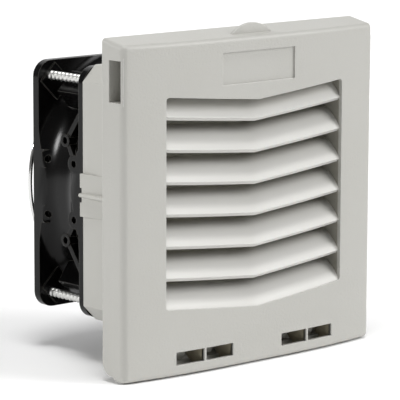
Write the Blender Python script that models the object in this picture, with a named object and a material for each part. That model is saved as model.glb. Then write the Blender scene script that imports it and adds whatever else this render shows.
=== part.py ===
"""Cabinet filter fan: a hinged louvre cover, a filter mat and an axial fan on a duct frame.

Run with: blender --background --python part.py

Metres, +Z up. The front faces -Y and air flows along +Y into the cabinet. The origin is the
centre of the cabinet cut-out, in the plane of the bezel's rear edge.
"""
import math

import bmesh
import bpy
from mathutils import Matrix, Vector

MM = 0.001
SEAT_GAP = 0.3 * MM            # clearance that every pair of touching pieces keeps

# Axial fan, the usual 119 x 119 x 38 mm size. The duct box and so the cover follow its width
FAN_HALF = 59.5 * MM
FAN_DEPTH = 38.0 * MM
FAN_FLANGE = 4.0 * MM
FAN_CORNER = 8.0 * MM
HOLE_INSET = 7.1 * MM          # screw holes inside the casting's sides
SCREW_HOLE_RADIUS = 2.4 * MM
BORE_MARGIN = 2.7 * MM         # between the bore and the casting's sides
CASTING_WALL = 1.6 * MM
FLARE_SPREAD = 7.7 * MM        # how far the bore opens at the faces, in the corners
FLARE_LENGTH = 12.0 * MM
FLARE_MARGIN = 1.7 * MM        # metal left between the flare and the casting's sides
SIDE_BOSS_HEIGHT = 13.3 * MM   # of the clip bosses above and below the middle
FRONT_BOSS_INSET = 3.8 * MM    # from the flange's inner face to the hole
REAR_BOSS_INSET = 5.4 * MM
SIDE_BOSS_RADIUS = 4.2 * MM
SIDE_HOLE_RADIUS = 1.7 * MM
SIDE_HOLE_DEPTH = 3.0 * MM
LINK_BOSS_DROP = 28.6 * MM     # from a screw hole down to the boss where two ribs meet
LINK_BOSS_DEPTH = 14.1 * MM    # that boss behind the front face
LINK_BOSS_RADIUS = 3.1 * MM
LINK_FOOT_DROP = 12.4 * MM     # from a screw hole down to the diagonal rib's foot
LINK_WIDTH = 2.4 * MM
LINK_INSET = 0.8 * MM          # ribs inside the casting's sides
SIDE_GAP = 0.6 * MM            # metal between the side openings and what borders them
WEB_RISE = 9.3 * MM            # of the flat corner webs above the barrel
WEB_HALF = 6.0 * MM
FRONT_WEB_FLAT = 10.0 * MM
FRONT_WEB_LENGTH = 17.0 * MM
REAR_WEB_FLAT = 1.5 * MM
REAR_WEB_LENGTH = 12.6 * MM
STRUT_COUNT = 4
STRUT_WIDTH = 5.0 * MM
STRUT_DEPTH = 4.5 * MM
BASE_RADIUS = 33.0 * MM
BASE_THICKNESS = 2.2 * MM
COLLAR_WALL = 2.3 * MM
COLLAR_LENGTH = 5.0 * MM

# Frame: flange, duct box and what is moulded on them
BOX_STEP = 0.9 * MM            # the box stands out from the fan's sides
BOX_WALL = 2.2 * MM
BOX_CHAMFER = 7.5 * MM
BOX_LENGTH = 35.6 * MM
BOX_UPSTAND = 3.4 * MM         # rim of the box in front of the flange
BOX_END_WALL = 2.0 * MM
INLET_STEP = 0.3 * MM          # the inlet hole inside the fan's bore
BOSS_RADIUS = 4.6 * MM
FLANGE_SIDE = 14.1 * MM        # flange beyond the box at its sides and top
FLANGE_FOOT = 6.0 * MM         # flange beyond the box at its bottom
FLANGE_THICKNESS = 1.5 * MM
FLANGE_RADIUS = 5.0 * MM
PAD_HALF_HEIGHT = 10.1 * MM
PAD_PROUD = 1.9 * MM
PAD_START = 20.0 * MM
PAD_NOTCH = 2.5 * MM           # slots at the pad's rear, on both sides of its rib
PAD_NOTCH_DEPTH = 1.1 * MM
RIB_RADIUS = 0.95 * MM
RIB_START = 4.0 * MM
GASKET_THICKNESS = 2.0 * MM
GASKET_MARGIN = 0.8 * MM       # from the box to the gasket
GASKET_WIDTH = 4.8 * MM
BOX_HALF = FAN_HALF + BOX_STEP
BOX_INNER = BOX_HALF - BOX_WALL
FLANGE_HALF = BOX_HALF + FLANGE_SIDE
FLANGE_BOTTOM = -BOX_HALF - FLANGE_FOOT
GASKET_INNER = BOX_HALF + GASKET_MARGIN
GASKET_OUTER = GASKET_INNER + GASKET_WIDTH

# Filter mat and the grid that carries it
MAT_CLEARANCE = 0.8 * MM
MAT_THICKNESS = 12.0 * MM
MAT_FRONT = 0.6 * MM
GRID_CLEARANCE = 0.4 * MM
GRID_THICKNESS = 3.0 * MM
GRID_RIM = 4.0 * MM
GRID_BAR = 2.0 * MM
GRID_CELLS = 6

# Louvre cover: a deep cap whose front is bowed about a vertical axis
COVER_OVERHANG = 4.0 * MM      # cover beyond the flange at its sides
COVER_RISE = 3.0 * MM          # and at its top
COVER_DEPTH = 14.7 * MM        # from the cabinet plane to the front, at the side edges
BOW = 4.8 * MM                 # how much further the middle of the front stands out
BOW_FLAT = 14.5 * MM           # half width of the flat middle
BOW_POWER = 2.25
COVER_WALL = 1.8 * MM
FRONT_WALL = 2.0 * MM
COVER_REAR = 0.4 * MM          # rim stays this far in front of the cabinet plane
TOP_DRAFT = 2.3 * MM           # fall of the top face from rear to front
SIDE_RADIUS = 3.0 * MM         # upright front edges
FRONT_RADIUS = 2.4 * MM        # top and bottom front edges
SHOULDER_RADIUS = 2.0 * MM     # edges between the top, bottom and side faces
LIP_REAR = 7.8 * MM            # rear of the lower lip, in front of the cabinet plane
LIP_RADIUS = 2.2 * MM
LIP_DROP = 8.4 * MM            # underside of the lip below the hinge

# Hinge at the foot of the cover
HINGE_DEPTH = 6.4 * MM         # axis in front of the cabinet plane
HINGE_DROP = 4.2 * MM          # axis below the flange
PIN_RADIUS = 1.4 * MM
HOOK_CLEARANCE = 0.35 * MM
HOOK_WALL = 1.75 * MM
HOOK_WIDTH = 8.0 * MM
HOOK_MOUTH_START = math.radians(250.0)
HOOK_MOUTH_END = math.radians(350.0)
NOTCH_CLEARANCE = 0.8 * MM
GUSSET_THICKNESS = 1.8 * MM
COVER_HALF = FLANGE_HALF + COVER_OVERHANG
COVER_TOP = FLANGE_HALF + COVER_RISE
HINGE_HEIGHT = FLANGE_BOTTOM - HINGE_DROP
COVER_BOTTOM = HINGE_HEIGHT - LIP_DROP

# Louvre opening and slats, V-shaped with the apex down
OPENING_SIDE = 2.9 * MM        # opening inside the duct's walls at the sides
OPENING_HEAD = 8.0 * MM        # and at the top, measured at the opening's sides
OPENING_FOOT = 10.9 * MM       # and at the bottom
OPENING_RADIUS = 1.5 * MM
VEE_DROP = 4.95 * MM
SLAT_COUNT = 6
FIRST_DROP = 9.3 * MM          # first lip below the opening's top
SILL_STEP = 0.84 * MM          # the sill stands this far above the next lip's place
SLAT_RECESS = 1.3 * MM         # lips behind the front face
SLAT_RUN = 12.4 * MM           # depth of a slat, front to back
SLAT_RISE = 1.45               # slope of the slat's face at its lip
SLAT_CURVE = 47.0              # how fast that slope falls off, per metre
SLAT_THICKNESS = 1.5 * MM
LIP_HEIGHT = 1.4 * MM
CHEEK = 1.6 * MM               # walls of the louvre box behind the opening
LOUVRE_REAR = 3.8 * MM         # rear of the louvre box, in front of the cabinet plane
OPENING_HALF = BOX_INNER - OPENING_SIDE
OPENING_TOP = BOX_INNER - OPENING_HEAD
OPENING_BOTTOM = OPENING_FOOT - BOX_INNER
FIRST_LIP = OPENING_TOP - FIRST_DROP
SLAT_PITCH = (FIRST_LIP - OPENING_BOTTOM + SILL_STEP) / SLAT_COUNT

# Features of the front
RECESS_HALF = 22.65 * MM
RECESS_DROP = 9.2 * MM         # below the cover's top
RECESS_HEIGHT = 15.0 * MM
RECESS_DEPTH = 0.9 * MM
WINDOW_INNER = 15.4 * MM
WINDOW_OUTER = 49.5 * MM
WINDOW_RIB = 1.1 * MM
WINDOW_ABOVE = 2.8 * MM        # windows above the hinge axis
WINDOW_BELOW = 3.3 * MM
TAB_HALF = 12.4 * MM
TAB_HEIGHT = 4.7 * MM
TAB_THICKNESS = 1.5 * MM
TAB_FRONT = 14.0 * MM
POCKET_FRONT = 13.0 * MM
POCKET_REAR = 5.6 * MM
POCKET_DROP = 9.4 * MM         # below the cover's top
POCKET_HEIGHT = 19.1 * MM
POCKET_DEPTH = 9.2 * MM
POCKET_WALL = 1.2 * MM
POCKET_LEAN = 2.2 * MM         # how far the pocket's back wall falls away inwards
RECESS_TOP = COVER_TOP - RECESS_DROP
RECESS_BOTTOM = RECESS_TOP - RECESS_HEIGHT
WINDOW_TOP = HINGE_HEIGHT + WINDOW_ABOVE
WINDOW_BOTTOM = HINGE_HEIGHT - WINDOW_BELOW
POCKET_TOP = COVER_TOP - POCKET_DROP
POCKET_BOTTOM = POCKET_TOP - POCKET_HEIGHT

# Motor
SHAFT_RADIUS = 2.0 * MM
BEARING_RADIUS = 6.5 * MM
BEARING_WIDTH = 5.0 * MM
TUBE_WALL = 1.6 * MM
TUBE_LENGTH = 26.0 * MM
STATOR_RADIUS = 25.0 * MM
STATOR_LENGTH = 13.0 * MM
STATOR_POLES = 4
SLOT_OPENING = math.radians(7.0)
POLE_NECK = 10.0 * MM
YOKE_RADIUS = 12.5 * MM
SHOE_TIP = 1.8 * MM            # thickness of a pole shoe at its tips
COIL_BUILD = 2.7 * MM
COIL_REACH = 18.6 * MM         # outer radius of the coils
AIR_GAP = 0.6 * MM
ROTOR_RING_WALL = 2.6 * MM
COIL_OVERHANG = 2.5 * MM
INSULATOR_THICKNESS = 0.9 * MM
CLIP_THICKNESS = 0.8 * MM

# Impeller
HUB_WALL = 2.2 * MM
HUB_FRONT = 9.2 * MM           # open end of the hub, behind the fan's front face
HUB_REAR = 36.4 * MM           # closed end
BLADE_COUNT = 7
BLADE_TIP_CLEARANCE = 1.3 * MM
BLADE_FRONT = 11.0 * MM
BLADE_REAR = 33.0 * MM
BLADE_THICKNESS = 1.8 * MM
BLADE_WRAP_ROOT = math.radians(40.0)
BLADE_WRAP_TIP = math.radians(27.0)
BLADE_SWEEP = math.radians(16.0)
BLADE_CAMBER = math.radians(5.0)

# Long screws, wire guard and terminals
SCREW_RADIUS = 2.1 * MM
SCREW_GRIP = 14.0 * MM         # length inside the frame's bosses
SCREW_HEAD_RADIUS = 4.0 * MM
SCREW_HEAD_HEIGHT = 2.8 * MM
WIRE_RADIUS = 1.0 * MM
GUARD_MARGIN = 0.8 * MM         # outer ring beyond the bore
GUARD_RING_PITCH = 10.0 * MM
GUARD_RINGS = 5
GUARD_RISE = 5.1 * MM          # ring wires behind the fan's rear face
EYELET_RADIUS = 4.6 * MM
TERMINAL_DEPTH = 13.0 * MM
TERMINAL_HEIGHT = 8.5 * MM
TERMINAL_INSET = 1.1 * MM      # block inside the casting's side
BLADE_TERMINAL_WIDTH = 2.8 * MM
BLADE_TERMINAL_THICKNESS = 0.8 * MM
BLADE_TERMINAL_LENGTH = 7.0 * MM

ROUND_STEPS = 36
HIDDEN_STEPS = 20              # of round pieces inside the hub
ARC_STEPS = 4

# Places worked out from the sizes above
HINGE_POINT = (-HINGE_DEPTH, HINGE_HEIGHT)
HOOK_INNER = PIN_RADIUS + HOOK_CLEARANCE
HOOK_OUTER = HOOK_INNER + HOOK_WALL
RELIEF_RADIUS = HINGE_DEPTH - COVER_REAR
WINDOW_MIDDLE = (WINDOW_INNER + WINDOW_OUTER) / 2
HOOK_CENTRES = [side * (WINDOW_MIDDLE + step * (WINDOW_OUTER - WINDOW_INNER) / 4)
                for side in (-1, 1) for step in (-1, 1)]
INNER_CHAMFER = BOX_CHAMFER - BOX_WALL * (2 - math.sqrt(2))
MAT_HALF = BOX_INNER - MAT_CLEARANCE
GRID_HALF = BOX_INNER - GRID_CLEARANCE
GRID_FRONT = MAT_FRONT + MAT_THICKNESS + 2 * SEAT_GAP
GRID_REAR = GRID_FRONT + GRID_THICKNESS
FAN_FRONT = BOX_LENGTH + SEAT_GAP
FAN_REAR = FAN_FRONT + FAN_DEPTH
SCREW_HALF = FAN_HALF - HOLE_INSET
BORE_RADIUS = FAN_HALF - BORE_MARGIN
INLET_RADIUS = BORE_RADIUS - INLET_STEP
BARREL_RADIUS = BORE_RADIUS + CASTING_WALL
FLARE_RADIUS = BORE_RADIUS + FLARE_SPREAD
FRONT_INNER = FAN_FRONT + FAN_FLANGE
REAR_INNER = FAN_REAR - FAN_FLANGE
FRONT_BOSS = (FRONT_INNER + FRONT_BOSS_INSET, SIDE_BOSS_HEIGHT)
REAR_BOSS = (REAR_INNER - REAR_BOSS_INSET, SIDE_BOSS_HEIGHT)
LINK_BOSS = (FAN_FRONT + LINK_BOSS_DEPTH, SCREW_HALF - LINK_BOSS_DROP)
LINK_FOOT = (FAN_FRONT + FAN_FLANGE / 2, SCREW_HALF - LINK_FOOT_DROP)
TUBE_INNER = BEARING_RADIUS + SEAT_GAP
TUBE_OUTER = TUBE_INNER + TUBE_WALL
BASE_REAR = FAN_FRONT + BASE_THICKNESS
TUBE_FRONT = BASE_REAR + SEAT_GAP
TUBE_REAR = TUBE_FRONT + TUBE_LENGTH
CLIP_FRONT = TUBE_FRONT + 1.4 * MM
FRONT_BEARING = CLIP_FRONT + CLIP_THICKNESS + SEAT_GAP
REAR_BEARING = TUBE_REAR - BEARING_WIDTH - 1.0 * MM
STATOR_REAR = TUBE_REAR - 0.8 * MM
STATOR_FRONT = STATOR_REAR - STATOR_LENGTH
ROTOR_BORE = STATOR_RADIUS + AIR_GAP
ROTOR_RING_OUTER = ROTOR_BORE + ROTOR_RING_WALL
HUB_INNER = ROTOR_RING_OUTER + SEAT_GAP
HUB_RADIUS = HUB_INNER + HUB_WALL
HUB_OPEN_END = FAN_FRONT + HUB_FRONT
HUB_CLOSED_END = FAN_FRONT + HUB_REAR
HUB_FLOOR = HUB_CLOSED_END - HUB_WALL
BLADE_TIP = BORE_RADIUS - BLADE_TIP_CLEARANCE
GUARD_OUTER = BORE_RADIUS + GUARD_MARGIN
GUARD_PLANE = FAN_REAR + GUARD_RISE
EYELET_FRONT = FAN_REAR + SEAT_GAP
EYELET_REAR = EYELET_FRONT + 2 * WIRE_RADIUS


def material(name, colour, roughness, metallic=0.0):
    """A Principled material with a plain colour."""
    made = bpy.data.materials.get(name) or bpy.data.materials.new(name)
    made.use_nodes = True
    shader = made.node_tree.nodes["Principled BSDF"]
    shader.inputs["Base Color"].default_value = (*colour, 1.0)
    shader.inputs["Roughness"].default_value = roughness
    shader.inputs["Metallic"].default_value = metallic
    made.diffuse_color = (*colour, 1.0)
    return made


def grey_plastic():
    return material("light_grey_abs", (0.53, 0.53, 0.50), 0.55)


def black_casting():
    return material("black_painted_casting", (0.012, 0.012, 0.013), 0.42)


def black_plastic():
    return material("black_moulded_plastic", (0.014, 0.014, 0.015), 0.5)


def zinc_steel():
    return material("zinc_plated_steel", (0.72, 0.72, 0.70), 0.3, 1.0)


def bright_steel():
    return material("bright_steel", (0.62, 0.62, 0.62), 0.22, 1.0)


def carrier(name, place):
    """An empty that moving pieces hang from, on their joint's axis."""
    made = bpy.data.objects.new(name, None)
    made.location = place
    made.empty_display_size = 20 * MM
    bpy.context.scene.collection.objects.link(made)
    return made


def add_object(name, mesh, finish=None, parent=None, smooth_angle=35.0):
    """Turns a bmesh in world coordinates into a named object with its faces pointing out."""
    bmesh.ops.remove_doubles(mesh, verts=mesh.verts, dist=1e-7)
    bmesh.ops.recalc_face_normals(mesh, faces=mesh.faces)
    if parent:
        bmesh.ops.translate(mesh, verts=mesh.verts, vec=-parent.location)
    data = bpy.data.meshes.new(name)
    mesh.to_mesh(data)
    mesh.free()
    data.shade_smooth()
    data.set_sharp_from_angle(angle=math.radians(smooth_angle))
    made = bpy.data.objects.new(name, data)
    made.parent = parent
    bpy.context.scene.collection.objects.link(made)
    if finish:
        data.materials.append(finish)
    return made


def add_copies(names, mesh, finish, places):
    """Objects that share one mesh, each at its own world matrix."""
    first = add_object(names[0], mesh, finish)
    made = [first] + [bpy.data.objects.new(name, first.data) for name in names[1:]]
    for copy, place in zip(made, places):
        copy.matrix_world = place
        if copy is not first:
            bpy.context.scene.collection.objects.link(copy)


def crisp_edges(angle=30.0):
    """Marks the edges that the cuts made as sharp, by one node group on every piece that has cuts."""
    group = bpy.data.node_groups.new("sharp_by_angle", "GeometryNodeTree")
    for direction in ("INPUT", "OUTPUT"):
        group.interface.new_socket("Geometry", in_out=direction, socket_type="NodeSocketGeometry")
    source, result = group.nodes.new("NodeGroupInput"), group.nodes.new("NodeGroupOutput")
    turn = group.nodes.new("GeometryNodeInputMeshEdgeAngle")
    over = group.nodes.new("FunctionNodeCompare")
    over.data_type, over.operation = "FLOAT", "GREATER_THAN"
    over.inputs[1].default_value = math.radians(angle)
    mark = group.nodes.new("GeometryNodeSetShadeSmooth")
    mark.domain = "EDGE"
    mark.inputs["Shade Smooth"].default_value = False
    group.links.new(turn.outputs["Unsigned Angle"], over.inputs[0])
    group.links.new(source.outputs[0], mark.inputs["Geometry"])
    group.links.new(over.outputs["Result"], mark.inputs["Selection"])
    group.links.new(mark.outputs["Geometry"], result.inputs[0])
    for piece in bpy.data.objects:
        if piece.modifiers and not piece.hide_render:
            piece.modifiers.new("crisp_edges", "NODES").node_group = group


def numbered(name, count):
    return [f"{name}_{index + 1}" for index in range(count)]


def tool(name, mesh):
    """A hidden object that only cuts or extends another."""
    made = add_object(name, mesh)
    made.hide_render = True
    made.display_type = "WIRE"
    return made


def boolean(target, other, operation):
    step = target.modifiers.new(f"{operation.lower()}_{other.name}", "BOOLEAN")
    step.operation = operation
    step.solver = "EXACT"
    step.object = other


def cut(target, name, mesh):
    boolean(target, tool(name, mesh), "DIFFERENCE")


def fuse(target, name, mesh):
    boolean(target, tool(name, mesh), "UNION")


def clip(target, name, mesh):
    boolean(target, tool(name, mesh), "INTERSECT")


def merged(*meshes):
    """Gathers the bodies of several bmeshes, which must not touch, into one."""
    whole = bmesh.new()
    for mesh in meshes:
        verts = {vert: whole.verts.new(vert.co) for vert in mesh.verts}
        for face in mesh.faces:
            whole.faces.new([verts[vert] for vert in face.verts])
        mesh.free()
    return whole


def loft(loops, closed=False):
    """Skins a row of equal loops of points, with a cap at each end unless the row closes."""
    mesh = bmesh.new()
    rows = [[mesh.verts.new(point) for point in loop] for loop in loops]
    pairs = list(zip(rows, rows[1:] + rows[:1] if closed else rows[1:]))
    for row, following in pairs:
        for index, vert in enumerate(row):
            after = (index + 1) % len(row)
            mesh.faces.new((vert, row[after], following[after], following[index]))
    if not closed:
        mesh.faces.new(rows[0])
        mesh.faces.new(rows[-1])
    return mesh


def prism_y(outline, front, rear):
    """Extrudes an (x, z) outline along Y."""
    return loft([[Vector((x, y, z)) for x, z in outline] for y in (front, rear)])


def prism_x(outline, left, right):
    """Extrudes a (y, z) outline along X."""
    return loft([[Vector((x, y, z)) for y, z in outline] for x in (left, right)])


def box(x_range, y_range, z_range):
    low, high = z_range
    outline = [(y_range[0], low), (y_range[1], low), (y_range[1], high), (y_range[0], high)]
    return prism_x(outline, *x_range)


def cylinder_y(centre, radius, front, rear, steps=24):
    x0, z0 = centre
    outline = arc((x0, z0), radius, 0.0, math.tau, steps)[:-1]
    return prism_y(outline, front, rear)


def revolve(profile, steps=ROUND_STEPS):
    """Turns a closed (radius, y) profile, clear of the axis, about the Y axis."""
    loops = []
    for step in range(steps):
        angle = math.tau * step / steps
        loops.append([Vector((r * math.cos(angle), y, r * math.sin(angle))) for r, y in profile])
    return loft(loops, closed=True)


def ring(inner, outer, front, rear, steps=ROUND_STEPS):
    return revolve([(inner, front), (outer, front), (outer, rear), (inner, rear)], steps)


def arc(centre, radius, start, end, steps=ARC_STEPS):
    """Points on a circle, ends included."""
    angles = [start + (end - start) * step / steps for step in range(steps + 1)]
    return [(centre[0] + radius * math.cos(a), centre[1] + radius * math.sin(a)) for a in angles]


def rounded_rectangle(low, high, radius, steps=ARC_STEPS):
    """An outline from its low to its high corner, with its corners rounded."""
    corners = [((high[0] - radius, high[1] - radius), 0), ((low[0] + radius, high[1] - radius), 1),
               ((low[0] + radius, low[1] + radius), 2), ((high[0] - radius, low[1] + radius), 3)]
    points = []
    for centre, quarter in corners:
        start = quarter * math.pi / 2
        points += arc(centre, radius, start, start + math.pi / 2, steps)
    return points


def chamfered_square(half, chamfer):
    near = half - chamfer
    return [(half, near), (near, half), (-near, half), (-half, near),
            (-half, -near), (-near, -half), (near, -half), (half, -near)]


def mirrored_stations(*distances):
    """Places along X on both sides of the middle, in order."""
    ordered = sorted(set(distances))
    return [-x for x in reversed(ordered) if x > 0] + ordered


def shoulder(x, half, radius):
    """How far a rounded edge of this radius has fallen back at x, out of the half width."""
    over = max(0.0, abs(x) - (half - radius))
    return radius - math.sqrt(max(0.0, radius ** 2 - over ** 2))


def cover_depth(x):
    """Distance of the cover's front face in front of the cabinet plane."""
    edge = max(0.0, abs(x) - BOW_FLAT) / (COVER_HALF - BOW_FLAT)
    return COVER_DEPTH + BOW * (1 - edge ** BOW_POWER) - shoulder(x, COVER_HALF, SIDE_RADIUS)


def vee(x, edge_height):
    """Height of a V-shaped edge that stands at edge_height at the sides of the opening."""
    return edge_height - VEE_DROP * max(0.0, 1 - abs(x) / OPENING_HALF)


def relief_start(radius, lip_rear):
    """Angle about the hinge axis where the relief of this radius meets the lip's rear."""
    return math.pi + math.acos(max(-1.0, min(1.0, (lip_rear - HINGE_DEPTH) / radius)))


def cover_section(x):
    """The cover's outer outline at x, as (y, z) points from its top rear edge forwards."""
    depth = cover_depth(x)
    fall = shoulder(x, COVER_HALF, SHOULDER_RADIUS)
    front_y = -(depth - FRONT_RADIUS)
    front_top = COVER_TOP - TOP_DRAFT - fall
    bottom = COVER_BOTTOM + fall
    points = [(-COVER_REAR, COVER_TOP - fall)]
    points += arc((front_y, front_top - FRONT_RADIUS), FRONT_RADIUS, math.pi / 2, math.pi)
    points += arc((front_y, bottom + FRONT_RADIUS), FRONT_RADIUS, math.pi, math.pi * 1.5)
    start = relief_start(RELIEF_RADIUS, LIP_REAR)
    room = HINGE_HEIGHT + RELIEF_RADIUS * math.sin(start) - bottom
    lip = max(0.1 * MM, min(LIP_RADIUS, 0.8 * room))
    points += arc((-LIP_REAR - lip, bottom + lip), lip, math.pi * 1.5, math.tau, 3)
    return points + arc(HINGE_POINT, RELIEF_RADIUS, start, math.tau, 6)


def cavity_section(x):
    """The outline of the space inside the cover at x, open at the rear."""
    depth = cover_depth(x) - FRONT_WALL
    top = COVER_TOP - COVER_WALL
    bottom = COVER_BOTTOM + COVER_WALL
    relief = RELIEF_RADIUS - COVER_WALL
    lip_rear = LIP_REAR + COVER_WALL
    beyond = 2 * COVER_WALL
    points = [(beyond, top), (-depth, top - TOP_DRAFT), (-depth, bottom), (-lip_rear, bottom)]
    start = relief_start(relief, LIP_REAR)
    step_height = HINGE_HEIGHT + relief * math.sin(start)
    points += [(-lip_rear, step_height)] + arc(HINGE_POINT, relief, start, math.tau, 6)
    return points + [(beyond, HINGE_HEIGHT)]


def sweep_x(stations, section):
    """Skins the (y, z) outlines that a section function gives along X."""
    return loft([[Vector((x, y, z)) for y, z in section(x)] for x in stations])


def cover_stations(half):
    """Stations across the cover, close together where its front edge is rounded."""
    bends = [half - SIDE_RADIUS * (1 - math.sin(a)) for a in (0.0, 0.5, 1.0, 1.3)]
    spread = [BOW_FLAT + (half - SIDE_RADIUS - BOW_FLAT) * step / 5 for step in range(5)]
    return mirrored_stations(0.0, *spread, *bends, half)


def slat_section(x, edge_height, recess):
    """A slat's outline at x: a lip in front and a face that rises, ever flatter, to the rear."""
    top = vee(x, edge_height)
    lip = -(cover_depth(x) - recess)
    run = -LOUVRE_REAR - lip

    def face(distance):
        return SLAT_RISE * distance - SLAT_CURVE * distance ** 2 * SLAT_RUN / run

    upper, lower = [], []
    for step in range(5):
        distance = run * step / 4
        slope = SLAT_RISE - 2 * SLAT_CURVE * distance * SLAT_RUN / run
        length = math.hypot(1.0, slope)
        upper.append((lip + distance, top + face(distance)))
        back = min(distance + SLAT_THICKNESS * slope / length, run)
        lower.append((lip + back, top + face(distance) - SLAT_THICKNESS / length))
    lower[0] = (lip + LIP_HEIGHT * 0.7, top - LIP_HEIGHT)
    return upper + lower[::-1] + [(lip, top - LIP_HEIGHT)]


def opening_outline():
    """The V-shaped louvre opening, its four outer corners rounded."""
    half, radius = OPENING_HALF, OPENING_RADIUS
    quarter = math.pi / 2
    points = arc((half - radius, OPENING_TOP - radius), radius, 0.0, quarter, 3)
    points += [(0.0, OPENING_TOP - VEE_DROP)]
    points += arc((radius - half, OPENING_TOP - radius), radius, quarter, 2 * quarter, 3)
    points += arc((radius - half, OPENING_BOTTOM + radius), radius, 2 * quarter, 3 * quarter, 3)
    points += [(0.0, OPENING_BOTTOM - VEE_DROP)]
    return points + arc((half - radius, OPENING_BOTTOM + radius), radius, 3 * quarter, math.tau, 3)


def slat_stations():
    reach = OPENING_HALF + CHEEK / 2
    return mirrored_stations(0.0, BOW_FLAT, reach * 0.5, reach * 0.75, reach)


def louvre_box(half_wall):
    """The walls round the slats, as four plates that run back from the front wall."""
    def plate(edge_height, offset):
        def section(x):
            front = -(cover_depth(x) - FRONT_WALL / 2)
            low = vee(x, edge_height) + offset
            return [(front, low), (front, low + CHEEK), (-LOUVRE_REAR, low + CHEEK), (-LOUVRE_REAR, low)]
        return sweep_x(slat_stations(), section)

    front = -(cover_depth(OPENING_HALF) - FRONT_WALL / 2)
    cheeks = [box(sorted((side * OPENING_HALF, side * (OPENING_HALF + CHEEK))), (front, -LOUVRE_REAR),
                  (OPENING_BOTTOM - half_wall, OPENING_TOP + half_wall)) for side in (-1, 1)]
    return plate(OPENING_TOP, 0.0), plate(OPENING_BOTTOM, -CHEEK), cheeks


def pocket(side, grow):
    """The latch pocket in a side wall, or with grow above zero its walls."""
    outer = side * (COVER_HALF - (COVER_WALL / 2 if grow else -COVER_WALL))
    inner = side * (COVER_HALF - POCKET_DEPTH - grow)
    loops = []
    for x, lean in ((outer, 0.0), (inner, POCKET_LEAN)):
        rear = -POCKET_REAR + lean + grow
        front, low, high = -POCKET_FRONT - grow, POCKET_BOTTOM - grow, POCKET_TOP + grow
        loops.append([Vector((x, y, z)) for y, z in
                      ((front, low), (rear, low), (rear, high), (front, high))])
    return loft(loops)


def hinge_gussets():
    """Plates that carry the pins between the front wall and the hinge axis."""
    half = GUSSET_THICKNESS / 2
    places = (WINDOW_INNER - half, WINDOW_MIDDLE, WINDOW_OUTER + half)
    plates = []
    for side in (-1, 1):
        for place in places:
            width = WINDOW_RIB if place == WINDOW_MIDDLE else GUSSET_THICKNESS
            centre = side * place
            front = -(cover_depth(centre) - FRONT_WALL / 2)
            nose = arc(HINGE_POINT, PIN_RADIUS * 1.5, math.pi / 2, -math.pi / 2, 6)
            outline = nose + [(-LIP_REAR - COVER_WALL * 1.5, COVER_BOTTOM + COVER_WALL / 2),
                              (front, COVER_BOTTOM + COVER_WALL / 2), (front, WINDOW_TOP)]
            plates.append(prism_x(outline, centre - width / 2, centre + width / 2))
    return plates


def hinge_pins():
    """One round pin behind each pair of windows, from outer gusset to outer gusset."""
    outline = arc(HINGE_POINT, PIN_RADIUS, 0.0, math.tau, 14)[:-1]
    reach = GUSSET_THICKNESS / 2
    return [prism_x(outline, *sorted((side * (WINDOW_INNER - reach), side * (WINDOW_OUTER + reach))))
            for side in (-1, 1)]


def thumb_tab():
    """The half-moon grip on the top face."""
    radius = (TAB_HALF ** 2 + TAB_HEIGHT ** 2) / (2 * TAB_HEIGHT)
    foot = COVER_TOP - TOP_DRAFT * TAB_FRONT / cover_depth(0.0)
    swing = math.asin(TAB_HALF / radius)
    centre = (0.0, foot + TAB_HEIGHT - radius)
    crest = arc(centre, radius, math.pi / 2 - swing, math.pi / 2 + swing, 12)
    root = foot - COVER_WALL / 2
    return prism_y(crest + [(-TAB_HALF, root), (TAB_HALF, root)], -TAB_FRONT, -TAB_FRONT + TAB_THICKNESS)


def front_cuts():
    """The louvre opening, the bare recess and the four hinge windows."""
    past = -(COVER_DEPTH + BOW + FRONT_WALL)
    behind = -(cover_depth(COVER_HALF - SIDE_RADIUS) - 2 * FRONT_WALL)
    cuts = [prism_y(opening_outline(), past, behind)]
    recess_floor = -(COVER_DEPTH + BOW - RECESS_DEPTH)
    cuts.append(box((-RECESS_HALF, RECESS_HALF), (past, recess_floor), (RECESS_BOTTOM, RECESS_TOP)))
    rib = WINDOW_RIB / 2
    for side in (-1, 1):
        for inner, outer in ((WINDOW_INNER, WINDOW_MIDDLE - rib), (WINDOW_MIDDLE + rib, WINDOW_OUTER)):
            x_range = sorted((side * inner, side * outer))
            cuts.append(box(x_range, (past, behind), (WINDOW_BOTTOM, WINDOW_TOP)))
    return merged(*cuts)


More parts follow.
